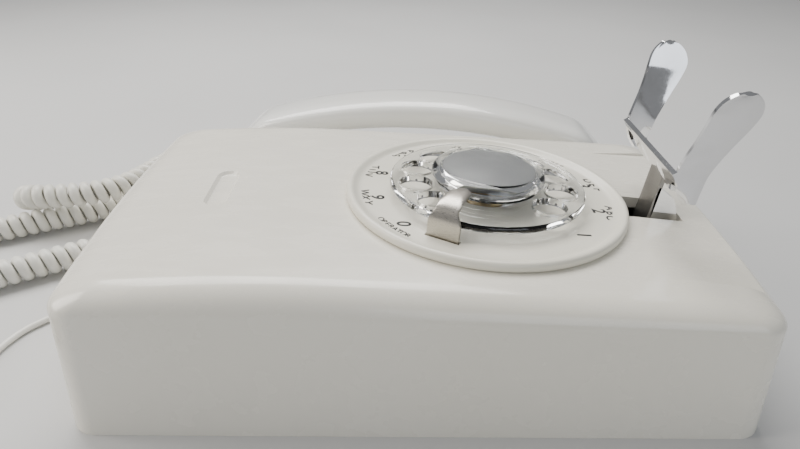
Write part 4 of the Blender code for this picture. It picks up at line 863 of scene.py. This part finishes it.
DIGIT_RING, LETTER_RING = 43.6, 48.2
LETTER_STEP = math.radians(5.0)
DIGIT_HEIGHT, LETTER_HEIGHT, WORD_HEIGHT = 5.0, 3.5, 2.3
DOT_RADIUS, DOT_CIRCLE, DOT_HALF = 1.2, 28.5, 0.02
groups = {2: "ABC", 3: "DEF", 4: "GHI", 5: "JKL", 6: "MNO", 7: "PRS", 8: "TUV", 9: "WXY"}
for k in range(HOLE_COUNT):
    angle = hole_angle(k)
    print_text(str((k + 1) % HOLE_COUNT), DIGIT_HEIGHT, DIGIT_RING, angle, UPRIGHT)
    direction = -1 if k + 1 <= 5 else 1
    for n, letter in enumerate(groups.get(k + 1, "")):
        spot = angle + direction * (n - 1) * LETTER_STEP
        print_text(letter, LETTER_HEIGHT, LETTER_RING, spot, UPRIGHT)
    dot = rod(DOT_RADIUS, -DOT_HALF, DOT_HALF, 32)
    moved(dot, around(DOT_CIRCLE, angle, INK_LEVEL))
    scratch = bpy.data.meshes.new("dot")
    dot.to_mesh(scratch)
    dot.free()
    ink_bm.from_mesh(scratch)
    bpy.data.meshes.remove(scratch)
word, word_step = "OPERATOR", math.radians(2.45)
for n, letter in enumerate(word):
    angle = hole_angle(HOLE_COUNT - 1) + (n - (len(word) - 1) / 2) * word_step
    print_text(letter, WORD_HEIGHT, LETTER_RING + 0.2, angle, angle + math.pi / 2)
bmesh.ops.remove_doubles(ink_bm, verts=ink_bm.verts, dist=0.0005 * MM)
ink_piece = finished("dial_print", moved(ink_bm, DIAL_FRAME), ink, "case", (), bevel=0)
print("printed faces:", len(ink_piece.data.polygons))

# %% [markdown]
# ## Hook
# The handset's hook is a bright pressed fork: two broad prongs that flare outwards at their
# rounded tips, a sloping plate between them with two pressed ribs, and a stem that goes down
# through the slot. The stem is the same chrome, painted dark for the shade on it and for the dark
# surroundings it reflects. Each is a sheet whose rule reads its edges from a smooth curve, and the
# sheets are joined.
# %% Hook fork
HOOK_PIVOT = Vector((88, 0, 0))
PRONG_SHEET = 1.8
PRONG_FROM_MIDDLE = 26.0            # to the inner side of a prong
prong_edge = sampler([
    (64, 2.5, 7, 0), (69, -0.6, 7.8, 0), (75, -2, 9, 0), (81, -0.8, 11.3, 0.6), (87, 1, 14, 1.6),
    (93, 2.4, 17, 2.7), (98, 3.3, 18.8, 3.7), (101.5, 4.2, 18.4, 4.9),
    (104, 5.6, 17, 5.9), (105.8, 7.6, 15, 6.8), (106.6, 9.4, 13.2, 7.4)])


def prong_rule(side):
    def rule(s, t):
        height, front, back, flare = prong_edge(s)
        across = 2 * t - 1
        curl = 0.5 * across * across
        x = HOOK_PIVOT.x + front + (back - front) * t
        return x, side * (PRONG_FROM_MIDDLE + flare + PRONG_SHEET / 2 - curl), height
    return rule


BRIDGE_TOP = Vector((-3.5, 75.5))
BRIDGE_SLOPE = math.radians(59)
bridge_drop = sampler([
    (-27.4, 9.2), (-20, 11.5), (-12, 15.5), (-4, 15.6), (4, 15.6), (12, 15.5), (20, 11.5),
    (27.4, 9.2)])
RIB_HEIGHT, RIB_WIDTH, RIB_PLACES = 0.55, 1.6, (-8.5, 8.5)
HALF_SHEET = PRONG_SHEET / 2


def bridge_rule(s, t):
    """The plate slopes down from its top edge, and two soft ribs are pressed into it."""
    y, drop = bridge_drop(s)
    swell = sum(math.exp(-((y - middle) / RIB_WIDTH) ** 2) for middle in RIB_PLACES)
    rise = HALF_SHEET - RIB_HEIGHT * swell * math.sin(math.pi * t)
    x = BRIDGE_TOP.x + math.cos(BRIDGE_SLOPE) * drop * t + math.sin(BRIDGE_SLOPE) * rise
    z = BRIDGE_TOP.y - math.sin(BRIDGE_SLOPE) * drop * t + math.cos(BRIDGE_SLOPE) * rise
    return HOOK_PIVOT.x + x, y, z


stem_line = sampler([(3.6, 66), (1.7, 52), (0, 40), (0, 22)])
web_sides = sampler([
    (2.6, 3.2, 60.5), (2.2, 6, 58.5), (1.8, 9.5, 55), (1.4, 11.8, 47), (0.9, 10.5, 41),
    (0.6, 1.2, 38)])
STEM_FROM, STEM_WIDTH, WEB_Y = -7, 12, -6.2


def stem_rule(s, t):
    x, z = stem_line(s)
    return HOOK_PIVOT.x + x, STEM_FROM + STEM_WIDTH * t, z


def web_rule(s, t):
    near, far, z = web_sides(s)
    return HOOK_PIVOT.x + near + (far - near) * t, WEB_Y, z


prongs = [sheet_of(60, 12, prong_rule(side), PRONG_SHEET) for side in (1, -1)]
bridge, web = sheet_of(72, 14, bridge_rule, PRONG_SHEET), sheet_of(30, 8, web_rule, 1.6)
fork_shape = carved(bridge, prongs + [web], "UNION")
fork = finished("hook_fork_bright", fork_shape, chrome, "hook", ("hook_fork",),
                bevel=0.25 * MM, segments=2, sharp=55)
# The stem is chrome like the fork; its dark colour is painted shade and a painted dark reflection.
shade_painted_chrome = metal(
    "shade_painted_chrome", (0.30, 0.29, 0.28), (0.20, 0.19, 0.18), 0.30, (1, 1, 6), 0.12, 0.15)
stem = finished("hook_stem", sheet_of(40, 8, stem_rule, 1.9), shade_painted_chrome, "hook", (),
                bevel=0.3 * MM)
print("fork:", len(fork.data.polygons), "stem:", len(stem.data.polygons))

# %% [markdown]
# ## Handset
# The handle and its two heads flow into one another. Joining them with a Boolean would leave a
# hard crease, so they are made as overlapping shapes, melted together by a voxel remesh and
# relaxed. The sockets for the caps are cut afterwards, which keeps their edges sharp.
# %% Handset body
HANDSET_PLACE = Matrix.Translation(Vector((3, 115.5, 0)) * MM) @ turned(0, 0, math.radians(-5))
HALF_SPAN, RIM, NECK = 77.0, 28.5, 25.6
HEAD_TILT = math.radians(8)
HANDLE = {"half": 17.5, "depth": 16.0, "top": 57.0, "arc": 285.0, "end": 98.5, "round_from": 84}
ROUNDNESS = 2 / 3.2                 # power of a section between an ellipse and a rectangle
VOXEL = 1.25 * MM


def head_place(side):
    """Place of a head: tilted, with its rim just touching the floor."""
    lift = RIM * math.sin(HEAD_TILT)
    spot = Matrix.Translation(Vector((side * HALF_SPAN, 0, lift)) * MM)
    return spot @ turned(0, side * HEAD_TILT, 0)


def power(value, exponent):
    return math.copysign(abs(value) ** exponent, value)


def handle_bar():
    """Round bar along X, then pressed into an arch with a soft square section and rounded ends."""
    bm = rod(1000, -1000, 1000, 64)
    long_edges = [e for e in bm.edges if abs(e.verts[0].co.z - e.verts[1].co.z) > 1]
    bmesh.ops.subdivide_edges(bm, edges=long_edges, cuts=95)
    for v in bm.verts:
        angle = math.atan2(v.co.y, v.co.x)
        x = v.co.z * HANDLE["end"]
        beyond = max(0.0, (abs(x) - HANDLE["round_from"]) / (HANDLE["end"] - HANDLE["round_from"]))
        full = math.sqrt(max(0.0, 1 - beyond ** 3))
        half = HANDLE["half"] * (0.5 + 0.5 * full)
        depth = HANDLE["depth"] * (0.45 + 0.55 * full)
        top = HANDLE["top"] - x * x / (2 * HANDLE["arc"]) - 6.2 * beyond ** 2.2
        across = power(math.sin(angle), ROUNDNESS)
        rise = power(math.cos(angle), ROUNDNESS)
        v.co = Vector((x, half * across, top - depth / 2 + depth / 2 * rise)) * MM
    return cleaned(bm)


head_dome = [
    (0, 38.0), (6, 37.75), (12, 36.0), (16, 34.0), (20, 30.9), (22.8, 27.6), (25, 24), (26.6, 19.8),
    (27.4, 16), (27.8, 12.5), (27.9, 8), (0, 8)]
voxel = temporary(handle_bar())
melt_parts = [moved(lathe(head_dome, 96), head_place(side)) for side in (-1, 1)]
for part in melt_parts:
    scratch = bpy.data.meshes.new("head")
    part.to_mesh(scratch)
    part.free()
    merged = bmesh.new()
    merged.from_mesh(voxel.data)
    merged.from_mesh(scratch)
    merged.to_mesh(voxel.data)
    merged.free()
    bpy.data.meshes.remove(scratch)
melt = voxel.modifiers.new("melt", "REMESH")
melt.mode = "VOXEL"
melt.voxel_size = VOXEL
relax = voxel.modifiers.new("relax", "SMOOTH")
relax.factor = 0.5
relax.iterations = 10
body_shape = settled(voxel)
socket_profile = [
    (0, -6), (42, -6), (42, 10.3), (NECK, 10.3), (NECK, 3), (22.5, 3), (22.5, 18), (0, 18)]
sockets = [moved(lathe(socket_profile, 96), head_place(side)) for side in (-1, 1)]
bush_place = Matrix.Translation(Vector((-105.5, 0, 15)) * MM) @ turned(0, math.pi / 2, 0)
bush_hole = moved(rod(3.5, -9.5, 6.5, 32), bush_place)
body_shape = moved(carved(body_shape, sockets + [bush_hole]), HANDSET_PLACE)
handset_body = finished("handset_body", body_shape, handset_white, "handset",
                        ("handset_handle",), bevel=0.3 * MM, segments=2, sharp=50)
print("handset body faces:", len(handset_body.data.polygons))

# %% [markdown]
# The ear and mouth caps screw onto the heads. Their rims are rounded, and small holes let the
# sound out. Each cap is spun from its section, and a ring of thin bars cuts the holes.
# %% Handset caps
cap_ring = [
    (0, 0.9), (18, 0.5), (24, 0), (26.6, 0), (27.5, 0.35), (28.2, 1.0), (RIM, 2.0), (RIM, 9.0),
    (28.3, 9.7), (27.8, 10), (25.9, 10), (25.9, 2.6), (0, 2.6)]
SOUND_HOLE, SOUND_CIRCLE = 1.3, 9
for name, side, count in (("transmitter", -1, 8), ("receiver", 1, 6)):
    drills = [moved(rod(SOUND_HOLE, -4, 4, 16), around(SOUND_CIRCLE, TAU * (k + 0.2) / count))
              for k in range(count)]
    drills.append(rod(SOUND_HOLE, -4, 4, 16))
    cap_shape = moved(moved(carved(lathe(cap_ring, 128), drills), head_place(side)), HANDSET_PLACE)
    finished(f"{name}_cap_turned", cap_shape, handset_white, "handset", (f"{name}_cap",),
             bevel=0.2 * MM, segments=2, sharp=50)
print("caps made")

# %% [markdown]
# ## Everything else
# The remaining parts keep the shapes of the solid model, which are close to the real ones already.
# Each is copied, its triangles are merged back into clean faces, its edges are rounded, and it
# gets the finish of its material. Gear teeth and springs are small, so they get a narrower
# rounding.
# %% Refined mechanical parts
finish_of = {
    "ivory": ivory, "handset": handset_white, "plate": plate_cream, "clear": acrylic,
    "card": card_grey, "chrome": chrome, "satin": satin_steel, "zinc": zinc, "brass": brass,
    "black": black_phenolic, "copper": copper, "cord": cord_vinyl, "plug": plug_clear}
slot_of = {part["node"]: part["material_slot"] for part in frame["record"]["subparts"]}
bodies = frame["record"]["behaviour"]["bodies"]
body_of = {node: body for body, members in bodies.items() for node in members}
FINE_EDGE = {
    "main_gear": 0.12, "intermediate_gear": 0.1, "governor_rotor": 0.1, "governor_cup": 0.15,
    "hook_torsion_spring": 0.3, "housing_screw": 0.2}
USUAL_EDGE = 0.25


def refined(node):
    """A solid of the model again, with clean faces and rounded edges."""
    bm = bmesh.new()
    bm.from_mesh(nodes[node].data)
    bmesh.ops.remove_doubles(bm, verts=bm.verts, dist=0.001 * MM)
    bmesh.ops.dissolve_limit(bm, angle_limit=math.radians(1), verts=bm.verts, edges=bm.edges)
    bmesh.ops.recalc_face_normals(bm, faces=bm.faces)
    slot = slot_of[node]
    return finished(f"{node}_fine", bm, finish_of[slot], body_of[node], (node,),
                    bevel=FINE_EDGE.get(node, USUAL_EDGE) * MM, segments=2, sharp=35)


left = [name for name in nodes if not nodes[name].hide_render]
for name in sorted(left):
    refined(name)
print("refined:", len(left))

# %% [markdown]
# The line cord's length is measured along the points it was made from.
round(route_length(line_points), 2)

# %% [markdown]
# ## Floor and light
# A wide pale floor, one large soft lamp above and behind, a smaller and warmer one from the left
# for edges, and a gentle, cooler fill from the camera's side. A single hard lamp would show the
# shapes too, but its shadows would hide the cords.
# %% Stage
floor_finish = Finish("pale_floor", (0.56, 0.56, 0.555), 0.55)
floor_finish.feed("Roughness", floor_finish.between(floor_finish.noise(6, 4), 0.48, 0.62))
floor_finish.bump(floor_finish.noise(220, 4), 0.05, 0.0001)
floor_mesh = bpy.data.meshes.new("floor")
floor_bm = bmesh.new()
bmesh.ops.create_grid(floor_bm, x_segments=60, y_segments=2, size=1.6)
far_edge = [v for v in floor_bm.verts if v.co.y > 0.5]
bmesh.ops.translate(floor_bm, vec=(0, 1.0, 0), verts=far_edge)
floor_bm.to_mesh(floor_mesh)
floor_bm.free()
floor_mesh.materials.append(floor_finish.material)
floor = bpy.data.objects.new("floor", floor_mesh)
bpy.context.scene.collection.objects.link(floor)


def lamp(name, place, target, size, watts, colour):
    """Rectangular lamp at a place, turned towards its target."""
    data = bpy.data.lights.new(name, "AREA")
    data.shape = "RECTANGLE"
    data.size, data.size_y = size
    data.energy = watts
    data.color = colour
    item = bpy.data.objects.new(name, data)
    away = (Vector(place) - Vector(target)).to_track_quat("Z", "Y").to_matrix().to_4x4()
    item.matrix_world = Matrix.Translation(place) @ away
    bpy.context.scene.collection.objects.link(item)
    return item


lamps = [
    lamp("overhead", (-0.15, 0.45, 0.75), (0, 0, 0.02), (0.8, 0.5), 11.0, (1.0, 0.985, 0.96)),
    lamp("left_window", (-0.75, -0.05, 0.45), (0, 0, 0.03), (0.4, 0.6), 5.5, (1.0, 0.94, 0.86)),
    lamp("front_fill", (0.35, -0.8, 0.45), (0, 0, 0.03), (0.7, 0.5), 2.4, (0.88, 0.93, 1.0))]
world = bpy.data.worlds.new("studio")
world.use_nodes = True
sky = world.node_tree.nodes["Background"]
sky.inputs["Color"].default_value = (0.9, 0.92, 0.95, 1)
sky.inputs["Strength"].default_value = 0.28
bpy.context.scene.world = world
print("stage set")
